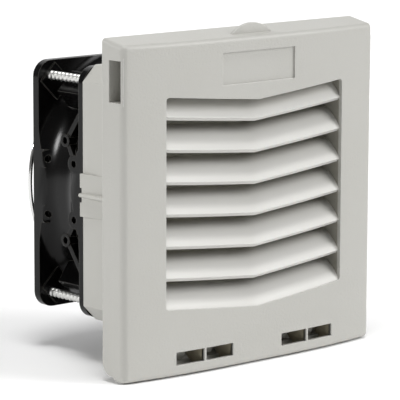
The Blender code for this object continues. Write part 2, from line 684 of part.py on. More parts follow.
def make_louvre_cover():
    """The hinged cover: a bowed cap with V-shaped louvres, windows, pockets and a thumb tab."""
    pivot = carrier("cover_hinge_axis", Vector((0.0, *HINGE_POINT)))
    shell = sweep_x(cover_stations(COVER_HALF), cover_section)
    cover = add_object("louvre_cover", shell, grey_plastic(), pivot)
    inner_half = COVER_HALF - COVER_WALL
    cut(cover, "cover_cavity", sweep_x(cover_stations(inner_half), cavity_section))
    fuse(cover, "pocket_walls", merged(*(pocket(side, POCKET_WALL) for side in (-1, 1))))
    cut(cover, "pockets", merged(*(pocket(side, 0.0) for side in (-1, 1))))
    cut(cover, "front_cuts", front_cuts())
    top_plate, bottom_plate, cheeks = louvre_box(CHEEK)
    fuse(cover, "louvre_top", top_plate)
    fuse(cover, "louvre_bottom", bottom_plate)
    fuse(cover, "louvre_cheeks", merged(*cheeks))
    heights = [FIRST_LIP - index * SLAT_PITCH for index in range(SLAT_COUNT)]
    slats = [sweep_x(slat_stations(), lambda x, z=z: slat_section(x, z, SLAT_RECESS)) for z in heights]
    fuse(cover, "slats", merged(*slats))
    sill = sweep_x(slat_stations(), lambda x: slat_section(x, OPENING_BOTTOM, FRONT_WALL / 4))
    fuse(cover, "sill_slat", sill)
    fuse(cover, "hinge_gussets", merged(*hinge_gussets()))
    fuse(cover, "hinge_pins", merged(*hinge_pins()))
    notches = [box((centre - HOOK_WIDTH / 2 - NOTCH_CLEARANCE, centre + HOOK_WIDTH / 2 + NOTCH_CLEARANCE),
                   (-HINGE_DEPTH + HOOK_OUTER, 0.0),
                   (HINGE_HEIGHT - RELIEF_RADIUS * 0.8, HINGE_HEIGHT + RELIEF_RADIUS)) for centre in HOOK_CENTRES]
    cut(cover, "hook_notches", merged(*notches))
    fuse(cover, "thumb_tab", thumb_tab())
    return cover


def hinge_hook(centre):
    """A C-shaped hook round the hinge pin, with the arm that carries it from the flange."""
    mouth_open, mouth_close = HOOK_MOUTH_START, HOOK_MOUTH_END - math.tau
    outer = arc(HINGE_POINT, HOOK_OUTER, mouth_open, mouth_close, 18)
    inner = arc(HINGE_POINT, HOOK_INNER, mouth_close, mouth_open, 18)
    left, right = centre - HOOK_WIDTH / 2, centre + HOOK_WIDTH / 2
    claw = prism_x(outer + inner, left, right)
    arm_top = FLANGE_BOTTOM + FLANGE_THICKNESS
    low = HINGE_HEIGHT + HOOK_INNER
    arm = box((left, right), (-HINGE_DEPTH, -SEAT_GAP), (low, arm_top))
    return claw, arm


def duct_shell():
    """The chamfered duct box, open in front and with a round inlet hole at its end."""
    outer = chamfered_square(BOX_HALF, BOX_CHAMFER)
    inner = chamfered_square(BOX_INNER, INNER_CHAMFER)
    return (prism_y(outer, -FLANGE_THICKNESS - BOX_UPSTAND, BOX_LENGTH),
            prism_y(inner, -FLANGE_THICKNESS - 2 * BOX_UPSTAND, BOX_LENGTH - BOX_END_WALL))


def side_pad(side):
    """A wedge-shaped land on the side of the box that centres it in the cut-out."""
    face, root = side * (BOX_HALF + PAD_PROUD), side * (BOX_HALF - BOX_WALL / 2)
    flush = side * BOX_HALF
    outline = [(root, PAD_START), (flush, PAD_START), (face, BOX_LENGTH), (root, BOX_LENGTH)]
    low, high = -PAD_HALF_HEIGHT, PAD_HALF_HEIGHT
    return loft([[Vector((x, y, z)) for x, y in outline] for z in (low, high)])


def pad_notches(side):
    """Two slots in a pad's rear edge, one on each side of the rib."""
    x_range = sorted((side * (BOX_HALF + PAD_PROUD * 0.4), side * (BOX_HALF + 2 * PAD_PROUD)))
    gap = RIB_RADIUS
    return [box(x_range, (BOX_LENGTH - PAD_NOTCH_DEPTH, BOX_LENGTH + PAD_NOTCH_DEPTH),
                sorted((sign * gap, sign * (gap + PAD_NOTCH)))) for sign in (-1, 1)]


def side_rib(side):
    """The round-nosed rib along the middle of a pad."""
    outline = arc((side * (BOX_HALF + PAD_PROUD), 0.0), RIB_RADIUS, 0.0, math.tau, 10)[:-1]
    rear = BOX_LENGTH
    stretched = [(x if side * x > BOX_HALF + PAD_PROUD else side * (BOX_HALF - BOX_WALL / 2), z)
                 for x, z in outline]
    return prism_y(stretched, RIB_START, rear)


def make_housing_frame():
    """Flange, duct box, screw bosses, side pads and hinge hooks in one moulding."""
    flange = rounded_rectangle((-FLANGE_HALF, FLANGE_BOTTOM), (FLANGE_HALF, FLANGE_HALF), FLANGE_RADIUS)
    frame = add_object("housing_frame", prism_y(flange, -FLANGE_THICKNESS, 0.0), grey_plastic())
    outer, inner = duct_shell()
    fuse(frame, "duct_outside", outer)
    cut(frame, "duct_inside", inner)
    inlet = cylinder_y((0.0, 0.0), INLET_RADIUS, BOX_LENGTH - 2 * BOX_END_WALL,
                       BOX_LENGTH + BOX_END_WALL, ROUND_STEPS)
    cut(frame, "fan_inlet", inlet)
    corners = screw_places()
    rear = BOX_LENGTH - BOX_END_WALL / 2
    bosses = [cylinder_y(corner, BOSS_RADIUS, GRID_REAR + SEAT_GAP, rear, 16) for corner in corners]
    fuse(frame, "screw_bosses", merged(*bosses))
    holes = [cylinder_y(corner, SCREW_HOLE_RADIUS, BOX_LENGTH - SCREW_GRIP - 1.0 * MM,
                        BOX_LENGTH + BOX_END_WALL, 12) for corner in corners]
    cut(frame, "screw_holes", merged(*holes))
    fuse(frame, "side_pads", merged(side_pad(-1), side_pad(1)))
    cut(frame, "pad_notches", merged(*pad_notches(-1), *pad_notches(1)))
    fuse(frame, "side_ribs", merged(side_rib(-1), side_rib(1)))
    claws, arms = zip(*(hinge_hook(centre) for centre in HOOK_CENTRES))
    fuse(frame, "hook_claws", merged(*claws))
    fuse(frame, "hook_arms", merged(*arms))
    return frame


def make_panel_gasket():
    """The foam ring between the flange and the cabinet."""
    foam = material("black_foam", (0.02, 0.02, 0.02), 0.95)
    outer = rounded_rectangle((-GASKET_OUTER, -GASKET_OUTER), (GASKET_OUTER, GASKET_OUTER), 3.0 * MM, 2)
    front, rear = SEAT_GAP, SEAT_GAP + GASKET_THICKNESS
    gasket = add_object("panel_gasket", prism_y(outer, front, rear), foam)
    hole = [(x, z) for x, z in ((GASKET_INNER, GASKET_INNER), (-GASKET_INNER, GASKET_INNER),
                                (-GASKET_INNER, -GASKET_INNER), (GASKET_INNER, -GASKET_INNER))]
    cut(gasket, "gasket_hole", prism_y(hole, front - GASKET_THICKNESS, rear + GASKET_THICKNESS))


def make_filter_mat():
    """The pleat-free fibre mat, lying against the grid."""
    fibre = material("white_fibre", (0.75, 0.75, 0.72), 0.95)
    outline = chamfered_square(MAT_HALF, INNER_CHAMFER)
    add_object("filter_mat", prism_y(outline, MAT_FRONT, MAT_FRONT + MAT_THICKNESS), fibre)


def make_filter_support_grid():
    """The square grid that the mat rests on, seated on the four screw bosses."""
    outline = chamfered_square(GRID_HALF, INNER_CHAMFER)
    grid = add_object("filter_support_grid", prism_y(outline, GRID_FRONT, GRID_REAR), grey_plastic())
    span = 2 * (GRID_HALF - GRID_RIM)
    pitch = (span + GRID_BAR) / GRID_CELLS
    cells = []
    for column in range(GRID_CELLS):
        for row in range(GRID_CELLS):
            if {column, row} <= {0, GRID_CELLS - 1}:
                continue
            left, low = (-span / 2 + index * pitch for index in (column, row))
            cells.append(box((left, left + pitch - GRID_BAR), (GRID_FRONT - GRID_BAR, GRID_REAR + GRID_BAR),
                             (low, low + pitch - GRID_BAR)))
    cut(grid, "grid_cells", merged(*cells))


def flare_profile(radius_at_face, waist, face, inward, steps=3):
    """Points of a quarter-ellipse flare from the waist radius to the radius at a face."""
    points = []
    for step in range(steps + 1):
        angle = math.pi / 2 * step / steps
        radius = waist + (radius_at_face - waist) * (1 - math.cos(angle))
        points.append((radius, face + inward * FLARE_LENGTH * (1 - math.sin(angle))))
    return points


def casting_profile():
    """Half section of the casting before its square outline is cut: a spool with two flanges."""
    outer_face = FLARE_RADIUS + CASTING_WALL
    reach = FAN_HALF * 1.5
    front = flare_profile(outer_face, BARREL_RADIUS, FRONT_INNER, 1)
    rear = flare_profile(outer_face, BARREL_RADIUS, REAR_INNER, -1)
    return ([(BORE_RADIUS, FAN_FRONT), (reach, FAN_FRONT), (reach, FRONT_INNER)] + front[::-1]
            + rear + [(reach, REAR_INNER), (reach, FAN_REAR), (BORE_RADIUS, FAN_REAR)])


def make_flare_cutter(name, face, inward):
    """The bell mouth of one face, kept inside the casting's sides."""
    profile = flare_profile(FLARE_RADIUS, BORE_RADIUS, face, inward)
    past = face - inward * FAN_FLANGE
    inside = BORE_RADIUS - CASTING_WALL
    loop = [(inside, profile[0][1])] + profile + [(FLARE_RADIUS, past), (inside, past)]
    flare = tool(name, revolve(loop))
    half = FAN_HALF - FLARE_MARGIN
    ends = sorted((past - inward * MM, profile[0][1] + inward * MM))
    clip(flare, f"{name}_limit", prism_y(chamfered_square(half, FAN_CORNER / 2), *ends))
    return flare


def side_boss(side, centre, inward, sign):
    """A flat-topped boss on the casting's side that grows out of a flange."""
    y, height = centre[0], sign * centre[1]
    nose = arc((y, height), SIDE_BOSS_RADIUS, -inward * math.pi / 2, inward * math.pi / 2, 8)
    foot = (FRONT_INNER if inward > 0 else REAR_INNER) - inward * FAN_FLANGE / 2
    outline = nose + [(foot, height + inward * end * SIDE_BOSS_RADIUS) for end in (1, -1)]
    return prism_x(outline, *sorted((side * (BORE_RADIUS - CASTING_WALL / 2), side * FAN_HALF)))


def side_hole(side, centre, sign, steps=10):
    outline = arc((centre[0], sign * centre[1]), SIDE_HOLE_RADIUS, 0.0, math.tau, steps)[:-1]
    return prism_x(outline, *sorted((side * (FAN_HALF - SIDE_HOLE_DEPTH), side * (FAN_HALF + MM))))


def quarters():
    """The four quarters of the casting's sides, as the signs of x and z."""
    return [(side, sign) for side in (-1, 1) for sign in (-1, 1)]


def side_band(side, sign, start, end):
    """A rib on the casting's side between two (y, height) points, down to inside the bore."""
    run, rise = end[0] - start[0], end[1] - start[1]
    length = math.hypot(run, rise)
    across = (-rise / length * LINK_WIDTH / 2, run / length * LINK_WIDTH / 2)
    outline = [(point[0] + turn * across[0], sign * (point[1] + turn * across[1]))
               for point, turn in ((start, 1), (end, 1), (end, -1), (start, -1))]
    root = math.sqrt(BORE_RADIUS ** 2 - LINK_FOOT[1] ** 2)
    return prism_x(outline, *sorted((side * root, side * (FAN_HALF - LINK_INSET))))


def link_boss(side, sign):
    """The round boss where the two ribs of a quarter meet."""
    outline = arc((LINK_BOSS[0], sign * LINK_BOSS[1]), LINK_BOSS_RADIUS, 0.0, math.tau, 14)[:-1]
    root = BORE_RADIUS * math.cos(math.asin(LINK_BOSS[1] / BORE_RADIUS))
    return prism_x(outline, *sorted((side * root, side * FAN_HALF)))


def side_opening(side, sign):
    """The four-cornered opening in the barrel between the front flange, the ribs and the bosses."""
    along_y, along_z = LINK_BOSS[0] - LINK_FOOT[0], LINK_FOOT[1] - LINK_BOSS[1]
    slant = along_z / along_y
    reach = (LINK_WIDTH / 2 + SIDE_GAP) * math.hypot(1.0, slant)
    front = FRONT_INNER + SIDE_GAP / 2
    rear = LINK_BOSS[0] - LINK_BOSS_RADIUS - SIDE_GAP
    low = SIDE_BOSS_HEIGHT + SIDE_BOSS_RADIUS + 4 * SIDE_GAP

    def under_rib(y):
        return LINK_BOSS[1] + (LINK_BOSS[0] - y) * slant - reach

    outline = [(front, low), (rear - 2 * SIDE_GAP, low), (rear, low + 4 * SIDE_GAP),
               (rear, max(low + 5 * SIDE_GAP, under_rib(rear))), (front, under_rib(front))]
    inner = BORE_RADIUS * math.cos(math.asin(min(0.9, LINK_FOOT[1] / BORE_RADIUS)))
    return prism_x([(y, sign * z) for y, z in outline], *sorted((side * inner, side * (FAN_HALF + MM))))


def corner_web(quarter, face, inward, flat, length):
    """A flat-topped web at a corner that runs from a flange down to the barrel."""
    angle = math.pi / 4 + quarter * math.pi / 2
    foot, crest = BARREL_RADIUS - CASTING_WALL / 2, BARREL_RADIUS + WEB_RISE
    start = face - inward * FAN_FLANGE / 2
    outline = [(foot, start), (crest, start), (crest, face + inward * flat), (foot, face + inward * length)]
    return loft([[Vector((r * math.cos(angle) - across * math.sin(angle), y,
                          r * math.sin(angle) + across * math.cos(angle))) for r, y in outline]
                 for across in (-WEB_HALF, WEB_HALF)])


def motor_base():
    """The spider that carries the motor: a disc with a collar, on struts out to the bore."""
    collar_inner = TUBE_OUTER + SEAT_GAP
    collar_outer = collar_inner + COLLAR_WALL
    collar_rear = BASE_REAR + COLLAR_LENGTH
    rim = BASE_RADIUS - BASE_THICKNESS
    profile = [(0.5 * MM, FAN_FRONT), (BASE_RADIUS, FAN_FRONT), (BASE_RADIUS, FAN_FRONT + STRUT_DEPTH),
               (rim, FAN_FRONT + STRUT_DEPTH), (rim, BASE_REAR), (collar_outer, BASE_REAR),
               (collar_outer, collar_rear), (collar_inner, collar_rear), (collar_inner, BASE_REAR),
               (0.5 * MM, BASE_REAR)]
    return revolve(profile, 36)


def strut(index):
    """A tapered arm from the motor base to the bore, leaning with the corners."""
    angle = math.pi / STRUT_COUNT + math.tau * index / STRUT_COUNT
    loops = []
    inner, outer = BASE_RADIUS - BASE_THICKNESS / 2, FLARE_RADIUS + CASTING_WALL / 2
    for radius, width in ((inner, STRUT_WIDTH), (outer, STRUT_WIDTH * 0.8)):
        half = width / 2
        front, rear = FAN_FRONT + SEAT_GAP, FAN_FRONT + STRUT_DEPTH
        section = [(-half, front), (half, front), (half * 0.5, rear), (-half * 0.5, rear)]
        loops.append([Vector((radius * math.cos(angle) - across * math.sin(angle), y,
                              radius * math.sin(angle) + across * math.cos(angle))) for across, y in section])
    return loft(loops)


def make_fan_housing():
    """The die-cast fan body: two square flanges, a flared bore, side bosses and the motor spider."""
    housing = add_object("fan_housing", revolve(casting_profile()), black_casting())
    square = rounded_rectangle((-FAN_HALF, -FAN_HALF), (FAN_HALF, FAN_HALF), FAN_CORNER)
    clip(housing, "fan_square", prism_y(square, FAN_FRONT - MM, FAN_REAR + MM))
    clips = ((FRONT_BOSS, 1), (REAR_BOSS, -1))
    bosses = [side_boss(side, centre, inward, sign) for side, sign in quarters() for centre, inward in clips]
    fuse(housing, "side_bosses", merged(*bosses))
    fuse(housing, "link_bosses", merged(*(link_boss(*quarter) for quarter in quarters())))
    fuse(housing, "diagonal_ribs", merged(*(side_band(*quarter, LINK_FOOT, LINK_BOSS) for quarter in quarters())))
    fuse(housing, "link_ribs", merged(*(side_band(*quarter, LINK_BOSS, FRONT_BOSS) for quarter in quarters())))
    fuse(housing, "front_webs", merged(*(corner_web(quarter, FRONT_INNER, 1, FRONT_WEB_FLAT, FRONT_WEB_LENGTH)
                                         for quarter in range(4))))
    fuse(housing, "rear_webs", merged(*(corner_web(quarter, REAR_INNER, -1, REAR_WEB_FLAT, REAR_WEB_LENGTH)
                                        for quarter in range(4))))
    bore = cylinder_y((0.0, 0.0), BORE_RADIUS, FAN_FRONT - MM, FAN_REAR + MM, ROUND_STEPS)
    cut(housing, "fan_bore", bore)
    for face, inward, name in ((FAN_FRONT, 1, "front"), (FAN_REAR, -1, "rear")):
        boolean(housing, make_flare_cutter(f"{name}_flare", face, inward), "DIFFERENCE")
    fuse(housing, "motor_struts", merged(*(strut(index) for index in range(STRUT_COUNT))))
    fuse(housing, "motor_base", motor_base())
    holes = [side_hole(side, centre, sign) for side, sign in quarters() for centre in (FRONT_BOSS, REAR_BOSS, LINK_BOSS)]
    holes += [side_opening(*quarter) for quarter in quarters()]
    holes += [cylinder_y(place, SCREW_HOLE_RADIUS, FAN_FRONT - MM, FAN_REAR + MM, 12) for place in screw_places()]
    cut(housing, "casting_holes", merged(*holes))
    return housing


def make_motor():
    """The fixed parts inside the hub: sleeve, bearings, stator core, insulators and coils."""
    brass = material("brass", (0.60, 0.42, 0.16), 0.3, 1.0)
    laminations = material("electrical_steel", (0.25, 0.25, 0.26), 0.45, 0.9)
    copper = material("enamelled_copper", (0.45, 0.16, 0.06), 0.35, 0.8)
    nylon = material("natural_nylon", (0.60, 0.55, 0.42), 0.5)
    add_object("bearing_tube", ring(TUBE_INNER, TUBE_OUTER, TUBE_FRONT, TUBE_REAR, HIDDEN_STEPS), brass)
    bearing = ring(SHAFT_RADIUS + SEAT_GAP, BEARING_RADIUS, 0.0, BEARING_WIDTH, HIDDEN_STEPS)
    seats = [Matrix.Translation((0.0, y, 0.0)) for y in (FRONT_BEARING, REAR_BEARING)]
    add_copies(["front_bearing", "rear_bearing"], bearing, bright_steel(), seats)
    front_seat, rear_seat = STATOR_FRONT - SEAT_GAP, STATOR_REAR + SEAT_GAP
    stack = (("stator_core", True, STATOR_FRONT, STATOR_REAR, laminations),
             ("front_winding_insulator", False, front_seat - INSULATOR_THICKNESS, front_seat, nylon),
             ("rear_winding_insulator", False, rear_seat, rear_seat + INSULATOR_THICKNESS, nylon))
    for name, shoes, front, rear, finish in stack:
        star = add_object(name, prism_y(star_outline(shoes), front, rear), finish)
        bore = cylinder_y((0.0, 0.0), TUBE_OUTER + SEAT_GAP, front - MM, rear + MM, HIDDEN_STEPS)
        cut(star, f"{name}_bore", bore)
    turns = [Matrix.Rotation(math.tau * index / STATOR_POLES, 4, "Y") for index in range(STATOR_POLES)]
    add_copies(numbered("stator_coil", STATOR_POLES), coil(), copper, turns)


def star_outline(shoes):
    """The stator's star in the XZ plane: straight pole necks, on the laminations with broad shoes."""
    outline = []
    pitch = math.tau / STATOR_POLES
    reach = pitch / 2 - SLOT_OPENING / 2
    half = POLE_NECK / 2
    tip = STATOR_RADIUS - SHOE_TIP
    neck = COIL_REACH + 1.0 * MM if shoes else COIL_REACH
    side = [(math.sqrt(YOKE_RADIUS ** 2 - half ** 2), half), (neck, half)]
    shoe = []
    if shoes:
        side.append((tip * math.cos(reach), tip * math.sin(reach)))
        shoe = arc((0.0, 0.0), STATOR_RADIUS, -reach, reach, 7)
    for index in range(STATOR_POLES):
        middle = pitch * index
        local = [(YOKE_RADIUS * math.cos(pitch / 2), -YOKE_RADIUS * math.sin(pitch / 2))]
        local += [(x, -z) for x, z in side] + shoe + side[::-1]
        for x, z in local:
            outline.append((x * math.cos(middle) - z * math.sin(middle),
                            x * math.sin(middle) + z * math.cos(middle)))
    return outline


def coil():
    """The winding of the pole on the X axis, a square-cornered loop round its neck."""
    inner = POLE_NECK / 2 + SEAT_GAP
    outer = inner + COIL_BUILD
    ends = 2 * SEAT_GAP + INSULATOR_THICKNESS
    low, high = YOKE_RADIUS + SEAT_GAP, COIL_REACH

    def loop(half, overhang):
        front, rear = STATOR_FRONT - ends - overhang, STATOR_REAR + ends + overhang
        corner = 1.5 * MM if overhang else 0.4 * MM
        return rounded_rectangle((-half, front), (half, rear), corner, 2)

    loops = []
    for points, x in ((loop(outer, COIL_OVERHANG), low), (loop(outer, COIL_OVERHANG), high),
                      (loop(inner, 0.0), high), (loop(inner, 0.0), low)):
        loops.append([Vector((x, y, z)) for z, y in points])
    return loft(loops, closed=True)


def blade(index):
    """One swept, twisted blade from inside the hub's wall to its tip."""
    loops = []
    root = HUB_RADIUS - HUB_WALL / 2
    base = math.tau * index / BLADE_COUNT
    chord_steps, span_steps = 5, 4
    for span in range(span_steps + 1):
        share = span / span_steps
        radius = root + (BLADE_TIP - root) * share
        wrap = BLADE_WRAP_ROOT + (BLADE_WRAP_TIP - BLADE_WRAP_ROOT) * share
        centre = base + BLADE_SWEEP * share ** 1.5
        front, rear = [], []
        for step in range(chord_steps + 1):
            along = step / chord_steps
            y = FAN_FRONT + BLADE_FRONT + (BLADE_REAR - BLADE_FRONT) * along
            bend = BLADE_CAMBER * math.sin(math.pi * along)
            angle = centre + wrap * (along - 0.5) + bend
            body = math.sin(math.pi * (0.12 + 0.76 * along))
            swell = BLADE_THICKNESS * body / radius * 0.8
            front.append((angle - swell, y))
            rear.append((angle + swell, y))
        section = front + rear[::-1]
        loops.append([Vector((radius * math.cos(a), y, radius * math.sin(a))) for a, y in section])
    return loft(loops)


def make_rotor():
    """Everything that turns: impeller, rotor ring, end rings, shaft, clip, washers and spring."""
    hub_profile = [(SHAFT_RADIUS + SEAT_GAP, HUB_FLOOR - 4.0 * MM), (SHAFT_RADIUS + 3.0 * MM, HUB_FLOOR - 4.0 * MM),
                   (SHAFT_RADIUS + 3.0 * MM, HUB_FLOOR), (HUB_INNER, HUB_FLOOR), (HUB_INNER, HUB_OPEN_END),
                   (HUB_RADIUS, HUB_OPEN_END), (HUB_RADIUS, HUB_CLOSED_END - MM),
                   (HUB_RADIUS - MM, HUB_CLOSED_END), (SHAFT_RADIUS + SEAT_GAP, HUB_CLOSED_END)]
    axis = carrier("rotor_axis", Vector((0.0, 0.0, 0.0)))
    impeller = add_object("impeller", revolve(hub_profile), black_plastic(), axis)
    fuse(impeller, "blades", merged(*(blade(index) for index in range(BLADE_COUNT))))
    ring_front, ring_rear = STATOR_FRONT - MM, STATOR_REAR + MM
    rotor_steel = material("rotor_steel", (0.28, 0.28, 0.29), 0.4, 0.9)
    cast_aluminium = material("cast_aluminium", (0.55, 0.55, 0.55), 0.45, 1.0)
    add_object("rotor_ring", ring(ROTOR_BORE, ROTOR_RING_OUTER, ring_front, ring_rear, 28), rotor_steel, axis)
    end_inner = ROTOR_BORE + 0.4 * MM
    reach = 2.0 * MM
    for name, front in (("front_end_ring", ring_front - SEAT_GAP - reach), ("rear_end_ring", ring_rear + SEAT_GAP)):
        end_ring = ring(end_inner, ROTOR_RING_OUTER, front, front + reach, 28)
        add_object(name, end_ring, cast_aluminium, axis)
    shaft_front = CLIP_FRONT - 0.6 * MM
    add_object("rotor_shaft", cylinder_y((0.0, 0.0), SHAFT_RADIUS, shaft_front, HUB_CLOSED_END - 0.4 * MM, 16),
               bright_steel(), axis)
    bore = SHAFT_RADIUS + SEAT_GAP
    add_object("shaft_clip", ring(bore, SHAFT_RADIUS + 2.0 * MM, CLIP_FRONT, CLIP_FRONT + CLIP_THICKNESS, 16),
               bright_steel(), axis)
    washer_front = REAR_BEARING + BEARING_WIDTH + SEAT_GAP
    washer_rear = washer_front + 0.5 * MM
    add_object("thrust_washer", ring(bore, SHAFT_RADIUS + 2.2 * MM, washer_front, washer_rear, 16),
               material("natural_nylon", (0.60, 0.55, 0.42), 0.5), axis)
    spring_rear = HUB_FLOOR - 4.0 * MM - SEAT_GAP
    add_object("preload_spring", disc_spring(washer_rear + SEAT_GAP, spring_rear), bright_steel(), axis)


def disc_spring(front, rear):
    """A coned spring washer round the shaft, its rim in front and its bore at the rear."""
    thickness = 0.4 * MM
    bore, rim = SHAFT_RADIUS + SEAT_GAP, SHAFT_RADIUS + 2.2 * MM
    return revolve([(bore, rear - thickness), (rim, front), (rim, front + thickness), (bore, rear)], HIDDEN_STEPS)


def make_fan_screws():
    """Four long self-tapping screws through guard, fan and frame."""
    seat = EYELET_REAR + SEAT_GAP
    tip = BOX_LENGTH - SCREW_GRIP - seat
    profile = [(0.0, tip), (SCREW_RADIUS * 0.6, tip), (SCREW_RADIUS, tip + SCREW_RADIUS),
               (SCREW_RADIUS, 0.0), (SCREW_HEAD_RADIUS, 0.0),
               (SCREW_HEAD_RADIUS, SCREW_HEAD_HEIGHT * 0.6),
               (SCREW_HEAD_RADIUS * 0.6, SCREW_HEAD_HEIGHT), (0.0, SCREW_HEAD_HEIGHT)]
    places = [Matrix.Translation((x, seat, z)) for x, z in screw_places()]
    add_copies(numbered("fan_screw", 4), turned_rod(profile), zinc_steel(), places)


def screw_places():
    return [(sx * SCREW_HALF, sz * SCREW_HALF) for sz in (1, -1) for sx in (-1, 1)]


def turned_rod(profile, steps=12):
    """A solid of revolution about Y whose (radius, y) profile starts and ends on its axis."""
    mesh = bmesh.new()
    tip = mesh.verts.new((0.0, profile[0][1], 0.0))
    end = mesh.verts.new((0.0, profile[-1][1], 0.0))
    rows = []
    for radius, y in profile[1:-1]:
        rows.append([mesh.verts.new((radius * math.cos(math.tau * k / steps), y,
                                     radius * math.sin(math.tau * k / steps))) for k in range(steps)])
    for k in range(steps):
        after = (k + 1) % steps
        mesh.faces.new((tip, rows[0][after], rows[0][k]))
        mesh.faces.new((end, rows[-1][k], rows[-1][after]))
        for row, following in zip(rows, rows[1:]):
            mesh.faces.new((row[k], row[after], following[after], following[k]))
    return mesh


def wire_along(points, radius=WIRE_RADIUS, sides=6):
    """A round wire through points in the XY-XZ space, its sections square to the mean direction."""
    loops = []
    for index, point in enumerate(points):
        before = points[max(index - 1, 0)]
        after = points[min(index + 1, len(points) - 1)]
        along = (after - before).normalized()
        across = along.cross(Vector((0.0, 1.0, 0.0)))
        across = across.normalized() if across.length > 1e-6 else Vector((1.0, 0.0, 0.0))
        over = across.cross(along)
        loops.append([point + radius * (math.cos(math.tau * k / sides) * across
                                        + math.sin(math.tau * k / sides) * over) for k in range(sides)])
    return loft(loops)


def guard_ring(radius):
    profile = [(radius + WIRE_RADIUS * math.cos(math.tau * k / 6), GUARD_PLANE + WIRE_RADIUS * math.sin(math.tau * k / 6))
               for k in range(6)]
    return revolve(profile, 12 + 4 * round(radius / GUARD_RING_PITCH * 0.7))


def guard_spoke(index):
    """A radial wire behind the rings that bends down to the eyelet at its corner."""
    angle = math.pi / 4 + math.tau * index / 4
    direction = Vector((math.cos(angle), 0.0, math.sin(angle)))
    behind = GUARD_PLANE + WIRE_RADIUS * 1.6
    corner = SCREW_HALF * math.sqrt(2)
    eyelet_middle = (EYELET_FRONT + EYELET_REAR) / 2
    inner = GUARD_OUTER - (GUARD_RINGS - 1) * GUARD_RING_PITCH
    places = [(inner - 2 * WIRE_RADIUS, behind), (GUARD_OUTER + WIRE_RADIUS, behind),
              (GUARD_OUTER + 5.0 * WIRE_RADIUS, behind - 0.4 * (behind - eyelet_middle)),
              (corner - EYELET_RADIUS - WIRE_RADIUS, eyelet_middle), (corner - EYELET_RADIUS * 0.75, eyelet_middle)]
    return wire_along([direction * radius + Vector((0.0, y, 0.0)) for radius, y in places])


def make_finger_guard():
    """The welded wire guard: concentric rings on four spokes that end in screw eyelets."""
    radii = [GUARD_OUTER - index * GUARD_RING_PITCH for index in range(GUARD_RINGS)]
    guard = add_object("finger_guard", merged(*(guard_ring(radius) for radius in radii)), bright_steel())
    fuse(guard, "guard_spokes", merged(*(guard_spoke(index) for index in range(4))))
    eyelets = [ring(SCREW_HOLE_RADIUS, EYELET_RADIUS, EYELET_FRONT, EYELET_REAR, 12) for _ in range(4)]
    for eyelet, (x, z) in zip(eyelets, screw_places()):
        bmesh.ops.translate(eyelet, verts=eyelet.verts, vec=Vector((x, 0.0, z)))
    fuse(guard, "guard_eyelets", merged(*eyelets))


def make_terminals():
    """The connector on the hidden side: a moulded block, two flat tabs and an earth screw.

    The block fills the corner between the barrel and a corner web, clear of both.
    """
    drop = WEB_HALF * math.sqrt(2) + 2 * SEAT_GAP + TERMINAL_HEIGHT
    left = (drop + math.sqrt(2 * (BARREL_RADIUS + SEAT_GAP) ** 2 - drop ** 2)) / 2
    front = (FAN_FRONT + FAN_REAR - TERMINAL_DEPTH) / 2
    x_range, z_range = (left, FAN_HALF - TERMINAL_INSET), (drop - left - TERMINAL_HEIGHT, drop - left)
    add_object("terminal_block", box(x_range, (front, front + TERMINAL_DEPTH), z_range), black_plastic())
    middle = sum(x_range) / 2
    half_thick, half_wide = BLADE_TERMINAL_THICKNESS / 2, BLADE_TERMINAL_WIDTH / 2
    tab = box((-half_thick, half_thick), (-half_wide, half_wide), (-BLADE_TERMINAL_LENGTH, 0.0))
    places = [Matrix.Translation((middle, front + TERMINAL_DEPTH * share, z_range[0] - SEAT_GAP))
              for share in (0.25, 0.75)]
    add_copies(numbered("terminal_tab", 2), tab, material("tinned_brass", (0.66, 0.64, 0.56), 0.3, 1.0), places)
    seat = FAN_HALF + SEAT_GAP
    shank = SIDE_HOLE_RADIUS - SEAT_GAP
    profile = [(0.0, FAN_HALF - SIDE_HOLE_DEPTH + SEAT_GAP), (shank, FAN_HALF - SIDE_HOLE_DEPTH + SEAT_GAP),
               (shank, seat), (SIDE_BOSS_RADIUS * 0.85, seat), (SIDE_BOSS_RADIUS * 0.85, seat + 1.2 * MM),
               (SIDE_BOSS_RADIUS * 0.5, seat + 2.0 * MM), (0.0, seat + 2.0 * MM)]
    screw = turned_rod(profile)
    height = -SIDE_BOSS_HEIGHT
    place = Matrix.Translation((0.0, REAR_BOSS[0], height))
    turn = Matrix.Rotation(-math.pi / 2, 4, "Z")
    bmesh.ops.transform(screw, matrix=place @ turn, verts=screw.verts)
    add_object("earth_screw", screw, material("brass", (0.60, 0.42, 0.16), 0.3, 1.0))


def main():
    for existing in list(bpy.data.objects):
        bpy.data.objects.remove(existing, do_unlink=True)
    make_louvre_cover()
    make_housing_frame()
    make_panel_gasket()
    make_filter_mat()
    make_filter_support_grid()
    make_fan_housing()
    make_motor()
    make_rotor()
    make_finger_guard()
    make_fan_screws()
    make_terminals()
    crisp_edges()


main()
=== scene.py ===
"""Looks of a cabinet filter fan: moulded louvre cover, duct frame, filter mat and axial fan.

Lengths are in millimetres until a mesh is made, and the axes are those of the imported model:
+X right, +Y into the cabinet, +Z up, with the fan's axis through the origin.
"""

import logging
import math
from dataclasses import dataclass, field
from enum import Enum

import bmesh
import bpy
import numpy as np
from mathutils import Matrix, Vector


